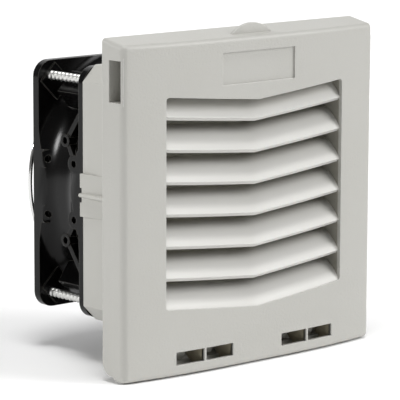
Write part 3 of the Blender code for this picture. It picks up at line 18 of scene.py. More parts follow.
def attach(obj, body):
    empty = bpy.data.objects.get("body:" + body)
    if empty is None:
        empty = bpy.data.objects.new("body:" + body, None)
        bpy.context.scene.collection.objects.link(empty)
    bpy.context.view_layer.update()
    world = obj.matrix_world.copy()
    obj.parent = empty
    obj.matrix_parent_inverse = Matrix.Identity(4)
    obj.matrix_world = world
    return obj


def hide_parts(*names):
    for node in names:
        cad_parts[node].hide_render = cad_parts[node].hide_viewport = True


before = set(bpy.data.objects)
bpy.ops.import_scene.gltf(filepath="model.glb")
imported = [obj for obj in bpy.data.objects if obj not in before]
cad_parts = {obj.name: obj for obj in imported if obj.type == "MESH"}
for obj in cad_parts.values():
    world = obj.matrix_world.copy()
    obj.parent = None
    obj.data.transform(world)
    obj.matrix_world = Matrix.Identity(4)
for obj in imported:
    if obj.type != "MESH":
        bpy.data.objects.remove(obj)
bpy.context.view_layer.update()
MM = 0.001
LOG = logging.getLogger("filter_fan")
Array = np.ndarray


class Direction(Enum):
    """How one closed mesh changes another."""

    CUT = "DIFFERENCE"
    JOIN = "UNION"
    LIMIT = "INTERSECT"


# ---- mesh making


def arc(centre: tuple[float, float], radius: float, start: float, end: float, steps: int) -> Array:
    """Points on a circle, ends included: centre plus radius times (cos, sin) of equally spaced angles.

    Args:
        centre: the circle's centre in its own plane.
        radius: its radius.
        start: first angle in radians.
        end: last angle in radians.
        steps: number of chords.

    Returns:
        An array of steps + 1 points.
    """
    angle = np.linspace(start, end, steps + 1)
    return np.stack([centre[0] + radius * np.cos(angle), centre[1] + radius * np.sin(angle)], 1)


def circle(centre: tuple[float, float], radius: float, steps: int = 24) -> Array:
    """The points of a whole circle, without a second point at its start."""
    return arc(centre, radius, 0, math.tau, steps)[:-1]


def turns(steps: int) -> Array:
    """Equally spaced angles of a full turn: k tau / steps."""
    return np.arange(steps) * math.tau / steps


def rounded_rectangle(low: tuple[float, float], high: tuple[float, float], radius: float,
                      steps: int = 8) -> Array:
    """The outline of a rectangle whose corners are quarter circles.

    Args:
        low: its low corner.
        high: its high corner.
        radius: of the corners.
        steps: chords in each corner.

    Returns:
        The outline's points, counter-clockwise.
    """
    quarter = math.pi / 2
    corners = ((high[0] - radius, high[1] - radius), (low[0] + radius, high[1] - radius),
               (low[0] + radius, low[1] + radius), (high[0] - radius, low[1] + radius))
    return np.concatenate([arc(c, radius, k * quarter, (k + 1) * quarter, steps)
                           for k, c in enumerate(corners)])


def mesh_of(name: str, points: Array, faces: list, sharp: float = 35.0) -> bpy.types.Object:
    """An object at the origin from points in millimetres, its normals out and its doubles merged.

    Args:
        name: the object's name.
        points: an array of (x, y, z).
        faces: lists of point numbers.
        sharp: edges that turn by more than these degrees stay hard.

    Returns:
        The linked object.
    """
    data = bpy.data.meshes.new(name)
    data.from_pydata((np.asarray(points, float) * MM).tolist(), [], [list(face) for face in faces])
    made = bpy.data.objects.new(name, data)
    bpy.context.scene.collection.objects.link(made)
    tidy(made, sharp)
    return made


def tidy(made: bpy.types.Object, sharp: float = 35.0) -> None:
    """Merges doubles, turns every normal out and sets the hard edges.

    Args:
        made: the object whose mesh is cleaned.
        sharp: edges that turn by more than these degrees stay hard.
    """
    mesh = bmesh.new()
    mesh.from_mesh(made.data)
    bmesh.ops.remove_doubles(mesh, verts=mesh.verts, dist=2e-6)
    bmesh.ops.recalc_face_normals(mesh, faces=mesh.faces)
    mesh.to_mesh(made.data)
    mesh.free()
    made.data.shade_smooth()
    made.data.set_sharp_from_angle(angle=math.radians(sharp))


def grid_faces(rows: int, columns: int, close_rows: bool = False, close_columns: bool = False) -> Array:
    """Quads of a grid whose point (i, j) has the number i * columns + j.

    Args:
        rows: number of rows of points.
        columns: number of points in a row.
        close_rows: joins the last row to the first.
        close_columns: joins each row's end to its start.

    Returns:
        An array of quads.
    """
    i = np.arange(rows if close_rows else rows - 1)[:, None]
    j = np.arange(columns if close_columns else columns - 1)[None, :]
    after_i, after_j = (i + 1) % rows, (j + 1) % columns
    corners = [i * columns + j, i * columns + after_j, after_i * columns + after_j, after_i * columns + j]
    return np.stack(np.broadcast_arrays(*corners), -1).reshape(-1, 4)


def skin(name: str, loops: Array, closed: bool = False, sharp: float = 35.0) -> bpy.types.Object:
    """Skins a row of closed loops of equal length, and caps its ends unless the row closes.

    Args:
        name: the object's name.
        loops: an array of loops by points by (x, y, z).
        closed: whether the last loop joins the first.
        sharp: edges that turn by more than these degrees stay hard.

    Returns:
        The linked object.
    """
    rows, columns = loops.shape[:2]
    faces = grid_faces(rows, columns, close_rows=closed, close_columns=True).tolist()
    if not closed:
        faces += [list(range(columns)), list(range((rows - 1) * columns, rows * columns))]
    return mesh_of(name, loops.reshape(-1, 3), faces, sharp)


def prism(name: str, outline: Array, axis: int, low: float, high: float) -> bpy.types.Object:
    """Extrudes an outline, given in the other two axes' order, along one axis.

    Args:
        name: the object's name.
        outline: points in the plane square to the axis.
        axis: 0, 1 or 2 for X, Y or Z.
        low: where it starts on that axis.
        high: where it ends.

    Returns:
        The linked object.
    """
    rest = [k for k in range(3) if k != axis]
    loops = np.zeros((2, len(outline), 3))
    loops[:, :, rest] = outline
    loops[0, :, axis], loops[1, :, axis] = low, high
    return skin(name, loops)


def side_prism(name: str, outline: Array, side: int, inner: float, outer: float) -> bpy.types.Object:
    """A prism along X between two distances from the middle, on side 1 or -1, from a (y, z) outline."""
    return prism(name, outline, 0, *sorted((side * inner, side * outer)))


def block(name: str, x: tuple, y: tuple, z: tuple) -> bpy.types.Object:
    """A rectangular block between its limits."""
    outline = np.array([(y[0], z[0]), (y[1], z[0]), (y[1], z[1]), (y[0], z[1])], float)
    return prism(name, outline, 0, *sorted(x))


def turned(name: str, profile: Array, steps: int = 144) -> bpy.types.Object:
    """Turns a closed (radius, y) profile about the Y axis: point (r cos a, y, r sin a).

    Args:
        name: the object's name.
        profile: the profile's points.
        steps: of the full turn.

    Returns:
        The linked object.
    """
    angle = turns(steps)
    radius, y = np.asarray(profile, float).T
    loops = np.stack(np.broadcast_arrays(radius * np.cos(angle)[:, None], y[None, :],
                                         radius * np.sin(angle)[:, None]), -1)
    return skin(name, loops, closed=True)


def tube(name: str, path: Array, radius: float, sides: int = 12, closed: bool = False) -> bpy.types.Object:
    """A round wire along a path: each section is a circle square to the path's local direction.

    Args:
        name: the object's name.
        path: points of the centreline.
        radius: of the wire.
        sides: points in a section.
        closed: whether the path is a loop.

    Returns:
        The linked object.
    """
    if closed:
        along = np.roll(path, -1, 0) - np.roll(path, 1, 0)
    else:
        along = np.gradient(path, axis=0)
    along /= np.linalg.norm(along, axis=1, keepdims=True)
    across = np.cross(along, (0.0, 1.0, 0.0))
    across /= np.linalg.norm(across, axis=1, keepdims=True)
    over = np.cross(across, along)
    angle = turns(sides)
    loops = (path[:, None] + radius * (np.cos(angle)[None, :, None] * across[:, None]
                                       + np.sin(angle)[None, :, None] * over[:, None]))
    return skin(name, loops, closed=closed)


def shape(target: bpy.types.Object, other: bpy.types.Object, how: Direction) -> None:
    """Applies one Boolean to the target and removes the other object.

    Args:
        target: the object that is changed.
        other: the object that changes it.
        how: whether it cuts, joins or limits.
    """
    step = target.modifiers.new("shape", "BOOLEAN")
    step.operation, step.solver, step.object = how.value, "EXACT", other
    graph = bpy.context.evaluated_depsgraph_get()
    made = bpy.data.meshes.new_from_object(target.evaluated_get(graph))
    target.modifiers.clear()
    old, target.data = target.data, made
    made.name = old.name
    bpy.data.meshes.remove(old)
    bpy.data.objects.remove(other, do_unlink=True)


def spots_of(piece: bpy.types.Object) -> Array:
    """The places of a mesh's vertices in millimetres, as rows of x, y and z.

    Args:
        piece: the object.

    Returns:
        An array with one row for each vertex.
    """
    spots = np.empty(len(piece.data.vertices) * 3, np.float32)
    piece.data.vertices.foreach_get("co", spots)
    return spots.reshape(-1, 3) / MM


def joined(name: str, pieces: list) -> bpy.types.Object:
    """One object from several that are bodies of one piece.

    Args:
        name: the object's name.
        pieces: the objects, which are used up.

    Returns:
        The linked object.
    """
    points, faces, start = [], [], 0
    for piece in pieces:
        points.append(spots_of(piece))
        faces += [[start + vertex for vertex in face.vertices] for face in piece.data.polygons]
        start += len(points[-1])
        bpy.data.objects.remove(piece, do_unlink=True)
    return mesh_of(name, np.concatenate(points), faces)


# ---- materials

BEVEL_SAMPLES = 4
# The reach of the rim tone, a painted highlight along hard edges, as a share of the rounded edge, and
# the cosines of the normal's lean at which it starts and is full
HIGHLIGHT_REACH = 0.7
HIGHLIGHT_START, HIGHLIGHT_FULL = 0.995, 0.9
GLOSS_SPREAD = 0.1


def linear(code: str) -> tuple[float, float, float, float]:
    """The linear colour of an sRGB hex code: ((c + 0.055) / 1.055) ** 2.4, or c / 12.92 when dark."""
    values = [int(code[k:k + 2], 16) / 255 for k in (0, 2, 4)]
    return tuple(v / 12.92 if v <= 0.04045 else ((v + 0.055) / 1.055) ** 2.4 for v in values) + (1.0,)


def add_node(tree: bpy.types.NodeTree, kind: str, settings: dict | None = None,
             **links: object) -> bpy.types.Node:
    """Adds a node, sets its properties and feeds its inputs.

    Args:
        tree: the material's node tree.
        kind: the node's type, without the ShaderNode prefix.
        settings: properties of the node.
        links: input names, with underscores for spaces, and a value or an output socket for each.

    Returns:
        The node.
    """
    made = tree.nodes.new(f"ShaderNode{kind}")
    for key, value in (settings or {}).items():
        setattr(made, key, value)
    for key, value in links.items():
        name = key.replace("_", " ")
        socket = next(s for s in made.inputs if s.name == name and s.enabled)
        if isinstance(value, bpy.types.NodeSocket):
            tree.links.new(value, socket)
        else:
            socket.default_value = value
    return made


@dataclass(frozen=True)
class Finish:
    """A surface: its colour, gloss and the grain that its making left.

    Attributes:
        name: the material's name.
        colour: sRGB hex code.
        tone: sRGB hex code that patches of the surface drift towards.
        roughness: of the surface.
        metallic: 0 or 1.
        ior: refractive index.
        shine: share of mirror reflection, 0.5 for a clean surface of that index.
        grain: spacing of the surface grain in millimetres, or 0.
        relief: height of that grain in millimetres.
        edge: radius in millimetres to which hard edges are rounded.
        drift: size in millimetres of the patches of tone.
        bands: spacing in millimetres of layers along Y, or 0.
        groove: sRGB hex code of the painted shade in the piece's hollows, given by its groove attribute, or
            "".
        rim: sRGB hex code of the painted highlight along hard edges, or "".
    """

    name: str
    colour: str
    tone: str
    roughness: float
    metallic: float = 0.0
    ior: float = 1.5
    shine: float = 0.5
    grain: float = 0.0
    relief: float = 0.0
    edge: float = 0.0
    drift: float = 30.0
    bands: float = 0.0
    groove: str = ""
    rim: str = ""

    def material(self) -> bpy.types.Material:
        """Builds the material once: tone by noise, grain by bump, hard edges by rounded normals.

        Returns:
            The material.
        """
        found = bpy.data.materials.get(self.name)
        if found:
            return found
        made = bpy.data.materials.new(self.name)
        made.use_nodes = True
        tree = made.node_tree
        shader = tree.nodes["Principled BSDF"]
        shader.inputs["Metallic"].default_value = self.metallic
        if not self.metallic:
            shader.inputs["IOR"].default_value = self.ior
            shader.inputs["Specular IOR Level"].default_value = self.shine
        place = add_node(tree, "TexCoord").outputs["Object"]
        patches = add_node(tree, "TexNoise", Vector=place, Scale=1 / (self.drift * MM), Detail=3.0)
        mix = add_node(tree, "MixRGB", Fac=patches.outputs["Fac"], Color1=linear(self.colour),
                       Color2=linear(self.tone))
        tone = mix.outputs["Color"]
        # Painted shade: the groove attribute darkens the tone in the piece's hollows
        if self.groove:
            depth = add_node(tree, "Attribute", {"attribute_name": "groove"}).outputs["Fac"]
            tone = add_node(tree, "MixRGB", Fac=depth, Color1=tone,
                            Color2=linear(self.groove)).outputs["Color"]
        # Painted highlight: the rim tone lightens the hard edges
        if self.rim:
            tone = add_node(tree, "MixRGB", Fac=self.edges(tree), Color1=tone,
                            Color2=linear(self.rim)).outputs["Color"]
        tree.links.new(tone, shader.inputs["Base Color"])
        self.gloss(tree, shader, patches)
        normal = self.relief_of(tree, place)
        if normal:
            tree.links.new(normal, shader.inputs["Normal"])
        return made

    def edges(self, tree: bpy.types.NodeTree) -> bpy.types.NodeSocket:
        """A mask of the hard edges for the painted highlight: 1 where the rounded normal leans from the
        face's own by 25 degrees.

        Args:
            tree: the material's node tree.

        Returns:
            The mask's socket.
        """
        rounded = add_node(tree, "Bevel", {"samples": BEVEL_SAMPLES}, Radius=HIGHLIGHT_REACH * self.edge * MM)
        plain = add_node(tree, "NewGeometry")
        lean = add_node(tree, "VectorMath", {"operation": "DOT_PRODUCT"})
        tree.links.new(rounded.outputs["Normal"], lean.inputs[0])
        tree.links.new(plain.outputs["Normal"], lean.inputs[1])
        mask = add_node(tree, "MapRange", Value=lean.outputs["Value"], From_Min=HIGHLIGHT_START, From_Max=HIGHLIGHT_FULL)
        return mask.outputs["Result"]

    def gloss(self, tree: bpy.types.NodeTree, shader: bpy.types.Node, patches: bpy.types.Node) -> None:
        """Roughness varies by a tenth of its value with the same patches.

        Args:
            tree: the material's node tree.
            shader: the surface shader.
            patches: the noise node of the patches of tone.
        """
        spread = add_node(tree, "MapRange", Value=patches.outputs["Fac"],
                          To_Min=self.roughness * (1 - GLOSS_SPREAD),
                          To_Max=min(1.0, self.roughness * (1 + GLOSS_SPREAD)))
        tree.links.new(spread.outputs["Result"], shader.inputs["Roughness"])

    def relief_of(self, tree: bpy.types.NodeTree, place: bpy.types.NodeSocket) -> bpy.types.NodeSocket | None:
        """The normal: rounded edges first, then grain or layers as a bump on them.

        Args:
            tree: the material's node tree.
            place: the socket of the object coordinates.

        Returns:
            The normal's socket, or None on a surface without edges, grain or layers.
        """
        normal = None
        if self.edge:
            normal = add_node(tree, "Bevel", {"samples": BEVEL_SAMPLES},
                              Radius=self.edge * MM).outputs["Normal"]
        height = None
        if self.grain:
            height = add_node(tree, "TexNoise", Vector=place, Scale=1 / (self.grain * MM),
                              Detail=2.0, Roughness=0.6).outputs["Fac"]
        if self.bands:
            height = add_node(tree, "TexWave", {"bands_direction": "Y"}, Vector=place,
                              Scale=math.pi / (10 * self.bands * MM)).outputs["Fac"]
        if height is not None:
            bump = add_node(tree, "Bump", Distance=self.relief * MM, Strength=1.0, Height=height)
            if normal:
                tree.links.new(normal, bump.inputs["Normal"])
            normal = bump.outputs["Normal"]
        return normal


# Acrylonitrile butadiene styrene, spark-eroded mould: a fine even matt grain on a warm light grey, with a
# painted highlight along its hard edges
ABS_GREY = Finish("abs_light_grey_textured", "BBBAB5", "B6B5AF", 0.44, ior=1.53, grain=1.1,
                  relief=0.16, edge=0.5, drift=45, rim="E4E3DF")
# The same resin on the louvre's curved faces, which the mould leaves smoother; painted a shade brighter
# for the light they catch, with painted shade towards the back of each slat and a painted highlight on edges
ABS_LOUVRE = Finish("abs_light_grey_louvre", "CDCCC8", "C9C8C3", 0.36, ior=1.53, grain=0.8,
                    relief=0.015, edge=0.3, drift=45, groove="A09C90", rim="E0DFDB")
# The same resin off a plain steel mould face, as on the duct frame and the grid
ABS_PLAIN = Finish("abs_light_grey_plain", "BEBDB7", "B9B8B2", 0.40, ior=1.53, grain=1.6,
                   relief=0.008, edge=0.35, drift=45)
# The same resin on the walls inside the louvre, dull, in a darker tone that is painted shade
ABS_WALLS = Finish("abs_shaded_grey_walls", "96948B", "8A877D", 0.55, ior=1.53, grain=1.2, relief=0.02,
                   edge=0.25, drift=20)
# The same resin on the hinge ribs: unpolished, in a warmer tone painted for the shade they lie in
ABS_RIBS = Finish("abs_warm_grey_ribs", "B8B09B", "ACA48F", 0.5, ior=1.53, grain=1.2, relief=0.02,
                  edge=0.25, drift=20)
# Die-cast aluminium under thin black paint: semi-gloss with a faint cast ripple, and a painted highlight
# along its edges
PAINTED_CASTING = Finish("black_painted_die_casting", "060607", "0C0B0A", 0.2, ior=1.5, shine=0.2,
                         grain=1.4, relief=0.008, edge=0.55, drift=20, rim="54524D")
# Glass-filled polyester of the impeller: satin black
BLACK_PBT = Finish("black_polyester_moulding", "0C0D0E", "101112", 0.38, ior=1.57, shine=0.25, grain=0.7,
                   relief=0.01, edge=0.4, drift=15)
# Zinc-plated rolled thread: bright crests, with painted shade in the grooves between them
ZINC = Finish("zinc_plated_steel", "868788", "6E6F70", 0.17, metallic=1.0, grain=0.35, relief=0.004,
              drift=4, groove="2C2B2A")
# Bright nickel-plated welded wire
BRIGHT_WIRE = Finish("bright_plated_wire", "E2E2E0", "D6D6D5", 0.14, metallic=1.0, grain=0.8,
                     relief=0.003, drift=12)
# Ground bearing steel
GROUND_STEEL = Finish("ground_bearing_steel", "C4C6C8", "B9BBBE", 0.22, metallic=1.0, grain=0.2,
                      relief=0.002, edge=0.15, drift=6)
# Stacked electrical sheets, each layer drawn 1 mm thick so that the stack shows
LAMINATIONS = Finish("electrical_steel_stack", "7C7E82", "6B6D71", 0.42, metallic=1.0, relief=0.08,
                     drift=8, bands=1.0)
# Turned brass
BRASS = Finish("turned_brass", "C9A653", "BC9847", 0.26, metallic=1.0, grain=0.3, relief=0.003,
               edge=0.15, drift=8)
# Tinned brass tabs: dull silver
TINNED = Finish("tinned_brass", "CFCBBE", "C2BEB2", 0.34, metallic=1.0, grain=0.3, relief=0.004,
                edge=0.1, drift=3)
# Enamelled copper wire, turns drawn 0.8 mm apart
COPPER = Finish("enamelled_copper_turns", "A24D1F", "8C3F18", 0.3, metallic=1.0, relief=0.12,
                drift=4, bands=0.8)
# Pressure-cast aluminium end rings
CAST_ALUMINIUM = Finish("cast_aluminium", "B9BABC", "A6A8AA", 0.45, metallic=1.0, grain=0.6,
                        relief=0.02, edge=0.3, drift=6)
# Natural nylon: creamy and slightly waxy
NYLON = Finish("natural_nylon", "D8CFB4", "D0C6A8", 0.4, ior=1.53, grain=0.8, relief=0.006,
               edge=0.2, drift=6)
# Closed-cell foam rubber: dull black with open pores on its cut faces
FOAM = Finish("black_cell_foam", "1D1D1E", "262627", 0.9, ior=1.45, grain=0.9, relief=0.15, drift=5)
# Bonded polyester fibre: a white mat, drawn a darker grey as painted shade for the gaps behind the slats, and
# uneven
FIBRE = Finish("bonded_polyester_fibre", "AFADA3", "9A988D", 0.95, ior=1.45, grain=0.8, relief=0.5,
               drift=3)


def mark_painted_shade(piece: bpy.types.Object, depth: Array) -> None:
    """Writes the groove attribute, which sets the painted shade: how deep in a hollow each vertex lies, from
    0 to 1.
    """
    depth = np.clip(depth, 0, 1).astype(np.float32)
    piece.data.attributes.new("groove", "FLOAT", "POINT").data.foreach_set("value", depth)


def dress(piece: bpy.types.Object, finish: Finish) -> None:
    """Gives a piece one finish all over."""
    piece.data.materials.clear()
    piece.data.materials.append(finish.material())


def place(piece: bpy.types.Object, finish: Finish, body: str, slot: str, *nodes: str) -> None:
    """Dresses a new piece, ties it to its body and hides the CAD nodes that it stands for.

    Args:
        piece: the new piece.
        finish: its surface.
        body: the CAD body that it moves with.
        slot: the name of a material slot; not used.
        nodes: CAD nodes that it replaces.
    """
    dress(piece, finish)
    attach(piece, body)
    if nodes:
        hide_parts(*nodes)
    LOG.info("%s rides on %s", piece.name, body)


# ---- louvre cover


@dataclass
class LouvreCover:
    """The hinged cover: bowed shell, V-shaped slats, latch pockets, hinge windows and thumb tab."""

    half: float = 78.5
    top: float = 77.5
    bottom: float = -79.0
    depth: float = 14.7
    bow: float = 4.8
    bow_flat: float = 14.5
    bow_power: float = 2.25
    wall: float = 1.8
    front_wall: float = 2.0
    rear: float = 0.4
    top_draft: float = 2.3
    side_radius: float = 3.0
    front_radius: float = 2.4
    shoulder_radius: float = 2.0
    lip_rear: float = 7.8
    lip_radius: float = 2.2
    hinge: tuple = (-6.4, -70.6)  # y, z
    opening: tuple = (55.3, -47.3, 50.2)  # half width, and its foot and head at the sides
    corner: float = 1.5
    vee_drop: float = 4.95
    cutter_rear: float = -11.0
    recess: tuple = (22.65, 53.3, 68.3, 0.9)  # half width, low, high, depth
    pocket: tuple = (-13.0, -5.6, 49.0, 68.1, 9.2)  # front, rear, low, high, depth
    pocket_wall: float = 1.2
    pocket_lean: float = 2.2
    windows: tuple = (15.4, 49.5, 1.1, -73.9, -67.8)  # inner, outer, rib between, low, high
    hook_notch: tuple = (4.8, -2.9, -75.4, -64.6)  # half width, front, low, high
    cheek: float = 1.6
    hair: float = 0.03
    louvre_rear: float = 3.8
    lips: tuple = (41.6, 14.84, 6)  # height of the first at the sides, pitch, count
    lip_recess: float = 1.3
    sill_recess: float = 0.5
    lip_height: float = 1.8
    lip_lean: float = 1.6
    lip_sole: float = 1.0
    lip_radii: tuple = (0.25, 0.6)  # toe, brow
    brow_drop: float = 0.42  # of the brow's centre under the edge, as a share of its radius
    brow_stop: float = 0.35  # radians by which the brow's arc stops short of the face
    slat_thickness: float = 1.5
    slat_slope: float = 1.45
    slat_bend: float = 0.056
    slat_run: float = 12.4  # the depth at which the bend is as given; it tightens on shorter slats
    # Painted shade towards the back of each slat, set by the field below
    shade_ramp: tuple = (0.45, 0.6)  # where on the way to the rear it starts, and the way to its full tone
    tab_size: tuple = (12.4, 4.7, 1.5, 14.0)  # half width, height, thickness, front
    tab_rim: float = 0.35
    tab_root: float = 0.9
    gusset: tuple = (1.8, 2.1, 2.7)  # width, radius of its nose, reach of its foot behind the lip
    pin_radius: float = 1.4

    def rounding(self, x: Array, half: float, radius: float) -> Array:
        """How far an edge rounded to this radius has fallen back at x: r - sqrt(r^2 - over^2)."""
        over = np.clip(np.abs(x) - (half - radius), 0.0, radius)
        return radius - np.sqrt(radius ** 2 - over ** 2)

    def depth_at(self, x: Array) -> Array:
        """Distance of the front from the cabinet: side depth plus a bow that falls as a power of x."""
        edge = np.clip(np.abs(x) - self.bow_flat, 0, None) / (self.half - self.bow_flat)
        return self.depth + self.bow * (1 - edge ** self.bow_power) - self.rounding(
            x, self.half, self.side_radius)

    def vee(self, x: Array, edge: float) -> Array:
        """Height of a V-shaped edge: the side height less a drop that grows linearly to the middle."""
        return edge - self.vee_drop * np.clip(1 - np.abs(x) / self.opening[0], 0, None)

    def stations(self, half: float) -> Array:
        """Places along X, close together where the side edges are rounded.

        Args:
            half: half the width.

        Returns:
            The places from left to right.
        """
        round_part = half - self.side_radius * (1 - np.sin(np.linspace(0, math.pi / 2, 10)))
        plain = np.linspace(0, half - self.side_radius, 40)[:-1]
        right = np.concatenate([plain, round_part])
        return np.concatenate([-right[:0:-1], right])

    @staticmethod
    def swept_arc(centre_y: Array, centre_z: Array, radius: Array, start: Array, end: Array,
                  steps: int) -> Array:
        """Arcs in the YZ plane, one for each station, as stations by points by (y, z).

        Args:
            centre_y: place of each centre along Y.
            centre_z: place of each centre along Z.
            radius: each arc's radius.
            start: first angles in radians.
            end: last angles in radians.
            steps: number of chords in each arc.

        Returns:
            An array of stations by points by (y, z).
        """
        share = np.linspace(0, 1, steps + 1)[None, :]
        angle = start[:, None] + (end - start)[:, None] * share
        return np.stack([centre_y[:, None] + radius[:, None] * np.cos(angle),
                         centre_z[:, None] + radius[:, None] * np.sin(angle)], -1)

    def outer(self) -> bpy.types.Object:
        """The solid cap before it is hollowed: its side outline carried along X.

        The lip's radius is the most that fits under the hinge's relief: 0.8 of the height there.

        Returns:
            The linked object.
        """
        x = self.stations(self.half)
        one = np.ones_like(x)
        depth = self.depth_at(x)
        fall = self.rounding(x, self.half, self.shoulder_radius)
        front = -(depth - self.front_radius)
        top, bottom = self.top - self.top_draft - fall, self.bottom + fall
        relief = abs(self.hinge[0]) - self.rear
        start = math.pi + math.acos((self.lip_rear + self.hinge[0]) / relief)
        start_height = self.hinge[1] + relief * math.sin(start)
        lip = np.clip(0.8 * (start_height - bottom), 0.1, self.lip_radius)
        quarter = math.pi / 2
        parts = [np.stack([-self.rear * one, self.top - fall], -1)[:, None],
                 self.swept_arc(front, top - self.front_radius, self.front_radius * one,
                                quarter * one, 2 * quarter * one, steps=8),
                 self.swept_arc(front, bottom + self.front_radius, self.front_radius * one,
                                2 * quarter * one, 3 * quarter * one, steps=8),
                 self.swept_arc(-self.lip_rear - lip, bottom + lip, lip, 3 * quarter * one,
                                4 * quarter * one, steps=6),
                 self.swept_arc(self.hinge[0] * one, self.hinge[1] * one, relief * one, start * one,
                                math.tau * one, steps=14)]
        return skin("cover_shell", self.along(x, np.concatenate(parts, 1)))

    @staticmethod
    def along(x: Array, section: Array) -> Array:
        """Loops in space from stations and their (y, z) sections."""
        return np.concatenate([np.broadcast_to(x[:, None, None], section.shape[:2] + (1,)), section], -1)

    def cavity(self) -> bpy.types.Object:
        """The space inside the cap, open at the rear.

        Returns:
            The linked cutter.
        """
        x = self.stations(self.half - self.wall)
        one = np.ones_like(x)
        depth = self.depth_at(x) - self.front_wall
        top, bottom, beyond = self.top - self.wall, self.bottom + self.wall, 2 * self.wall
        relief = abs(self.hinge[0]) - self.rear - self.wall
        lip = self.lip_rear + self.wall
        start = math.pi + math.acos((self.lip_rear + self.hinge[0]) / relief)
        step = self.hinge[1] + relief * math.sin(start)

        def point(y: Array, z: Array) -> Array:
            """One corner of the section at every station."""
            return np.stack([y * one, z * one], -1)[:, None]

        parts = [point(beyond, top), point(-depth, top - self.top_draft), point(-depth, bottom),
                 point(-lip, bottom), point(-lip, step),
                 self.swept_arc(self.hinge[0] * one, self.hinge[1] * one, relief * one,
                                start * one, math.tau * one, steps=12), point(beyond, self.hinge[1])]
        return skin("cavity", self.along(x, np.concatenate(parts, 1)))

    def pocket_block(self, side: int, grow: float) -> bpy.types.Object:
        """A latch pocket as a solid whose back leans away inwards, or with grow its walls.

        Args:
            side: 1 for the right, -1 for the left.
            grow: thickness of the walls, or 0 for the hollow.

        Returns:
            The linked object.
        """
        front, rear, low, high, depth = self.pocket
        outer = side * (self.half - (self.wall / 2 if grow else -self.wall))
        inner = side * (self.half - depth - grow)
        loops = []
        for x, lean in ((outer, 0.0), (inner, self.pocket_lean)):
            y0, y1, z0, z1 = front - grow, rear + lean + grow, low - grow, high + grow
            loops.append([(x, y0, z0), (x, y1, z0), (x, y1, z1), (x, y0, z1)])
        return skin("pocket", np.array(loops))

    def opening_outline(self) -> Array:
        """The louvre opening in the XZ plane, with its outer corners rounded.

        Returns:
            Its points as (x, z).
        """
        half, low, high = self.opening
        r, quarter = self.corner, math.pi / 2
        return np.concatenate([
            arc((half - r, high - r), r, 0, quarter, 6), [(0.0, high - self.vee_drop)],
            arc((r - half, high - r), r, quarter, 2 * quarter, 6),
            arc((r - half, low + r), r, 2 * quarter, 3 * quarter, 6), [(0.0, low - self.vee_drop)],
            arc((half - r, low + r), r, 3 * quarter, 4 * quarter, 6)])

    def shell(self) -> bpy.types.Object:
        """The shell with its pockets, opening, recess and windows cut.

        Returns:
            The linked object.
        """
        cover = self.outer()
        shape(cover, self.cavity(), Direction.CUT)
        for side in (-1, 1):
            shape(cover, self.pocket_block(side, self.pocket_wall), Direction.JOIN)
            shape(cover, self.pocket_block(side, 0.0), Direction.CUT)
        past = -(self.depth + self.bow + 2)  # clear of the bowed front
        shape(cover, prism("opening", self.opening_outline(), 1, past, self.cutter_rear), Direction.CUT)
        half, low, high, deep = self.recess
        shape(cover, block("recess", (-half, half), (past, -(self.depth + self.bow - deep)), (low, high)),
              Direction.CUT)
        inner, outer, rib, low, high = self.windows
        middle = (inner + outer) / 2
        windows = [block("window", (side * a, side * b), (past, self.cutter_rear), (low, high))
                   for side in (-1, 1) for a, b in ((inner, middle - rib / 2), (middle + rib / 2, outer))]
        shape(cover, joined("windows", windows), Direction.CUT)
        reach, notch_front, notch_low, notch_high = self.hook_notch
        hooks = [side * (middle + step * (outer - inner) / 4) for side in (-1, 1) for step in (-1, 1)]
        notches = [block("notch", (at - reach, at + reach), (notch_front, 1.0), (notch_low, notch_high))
                   for at in hooks]
        shape(cover, joined("notches", notches), Direction.CUT)
        tidy(cover, 30)
        return cover

    def slat_loops(self, x: Array, edge: float, recess: float) -> Array:
        """A slat: a lip that leans back, and a face rising at a falling slope z = a d - b d^2.

        Args:
            x: stations along X.
            edge: height of the lip at the sides.
            recess: how far the lip lies behind the bowed front.

        Returns:
            An array of stations by points by (x, y, z).
        """
        top = self.vee(x, edge)[:, None]
        lip = -(self.depth_at(x) - recess)[:, None]
        run = -self.louvre_rear - lip
        share = np.linspace(0, 1, 15)[None, :]
        distance = run * share
        bend = self.slat_bend * self.slat_run / run
        slope = self.slat_slope - 2 * bend * distance
        length = np.hypot(1.0, slope)
        face = self.slat_slope * distance - bend * distance ** 2
        upper = np.stack([lip + distance, top + face], -1)
        back = np.minimum(distance + self.slat_thickness * slope / length, run)
        lower = np.stack([lip + back, top + face - self.slat_thickness / length], -1)[:, 1:]
        one, foot = np.ones_like(x), top[:, 0] - self.lip_height
        toe, brow = self.lip_radii
        quarter = math.pi / 2
        under = np.stack([lip + self.lip_lean + self.lip_sole, foot[:, None]], -1)
        nose = self.swept_arc(lip[:, 0] + toe + self.lip_lean, foot + toe, toe * one,
                              3 * quarter * one, 2 * quarter * one, steps=5)
        turn = math.pi - math.atan(self.slat_slope) / 2
        bead = self.swept_arc(lip[:, 0] + brow, top[:, 0] - brow * self.brow_drop, brow * one,
                              math.pi * one, (turn - self.brow_stop) * one, steps=5)
        return self.along(x, np.concatenate([under, nose, bead, upper[:, 1:], lower[:, ::-1]], 1))

    def slats(self) -> bpy.types.Object:
        """All the slats and the sill under them, each one V-shaped strip.

        The groove attribute, for the painted shade, grows linearly with the depth behind the lip.

        Returns:
            The linked object.
        """
        half, low, _ = self.opening
        reach = half + self.cheek / 2
        right = np.linspace(0, reach, 24)
        x = np.concatenate([-right[:0:-1], right])
        first, pitch, count = self.lips
        rows = [(first - k * pitch, self.lip_recess) for k in range(count)] + [(low, self.sill_recess)]
        strips = [skin("slat", self.slat_loops(x, edge, recess), sharp=50) for edge, recess in rows]
        made = joined("louvre_slats", strips)
        spots = spots_of(made)
        lip = self.lip_recess - self.depth_at(spots[:, 0])
        share = (spots[:, 1] - lip) / (-self.louvre_rear - lip)
        begin, way = self.shade_ramp
        mark_painted_shade(made, (share - begin) / way)
        return made

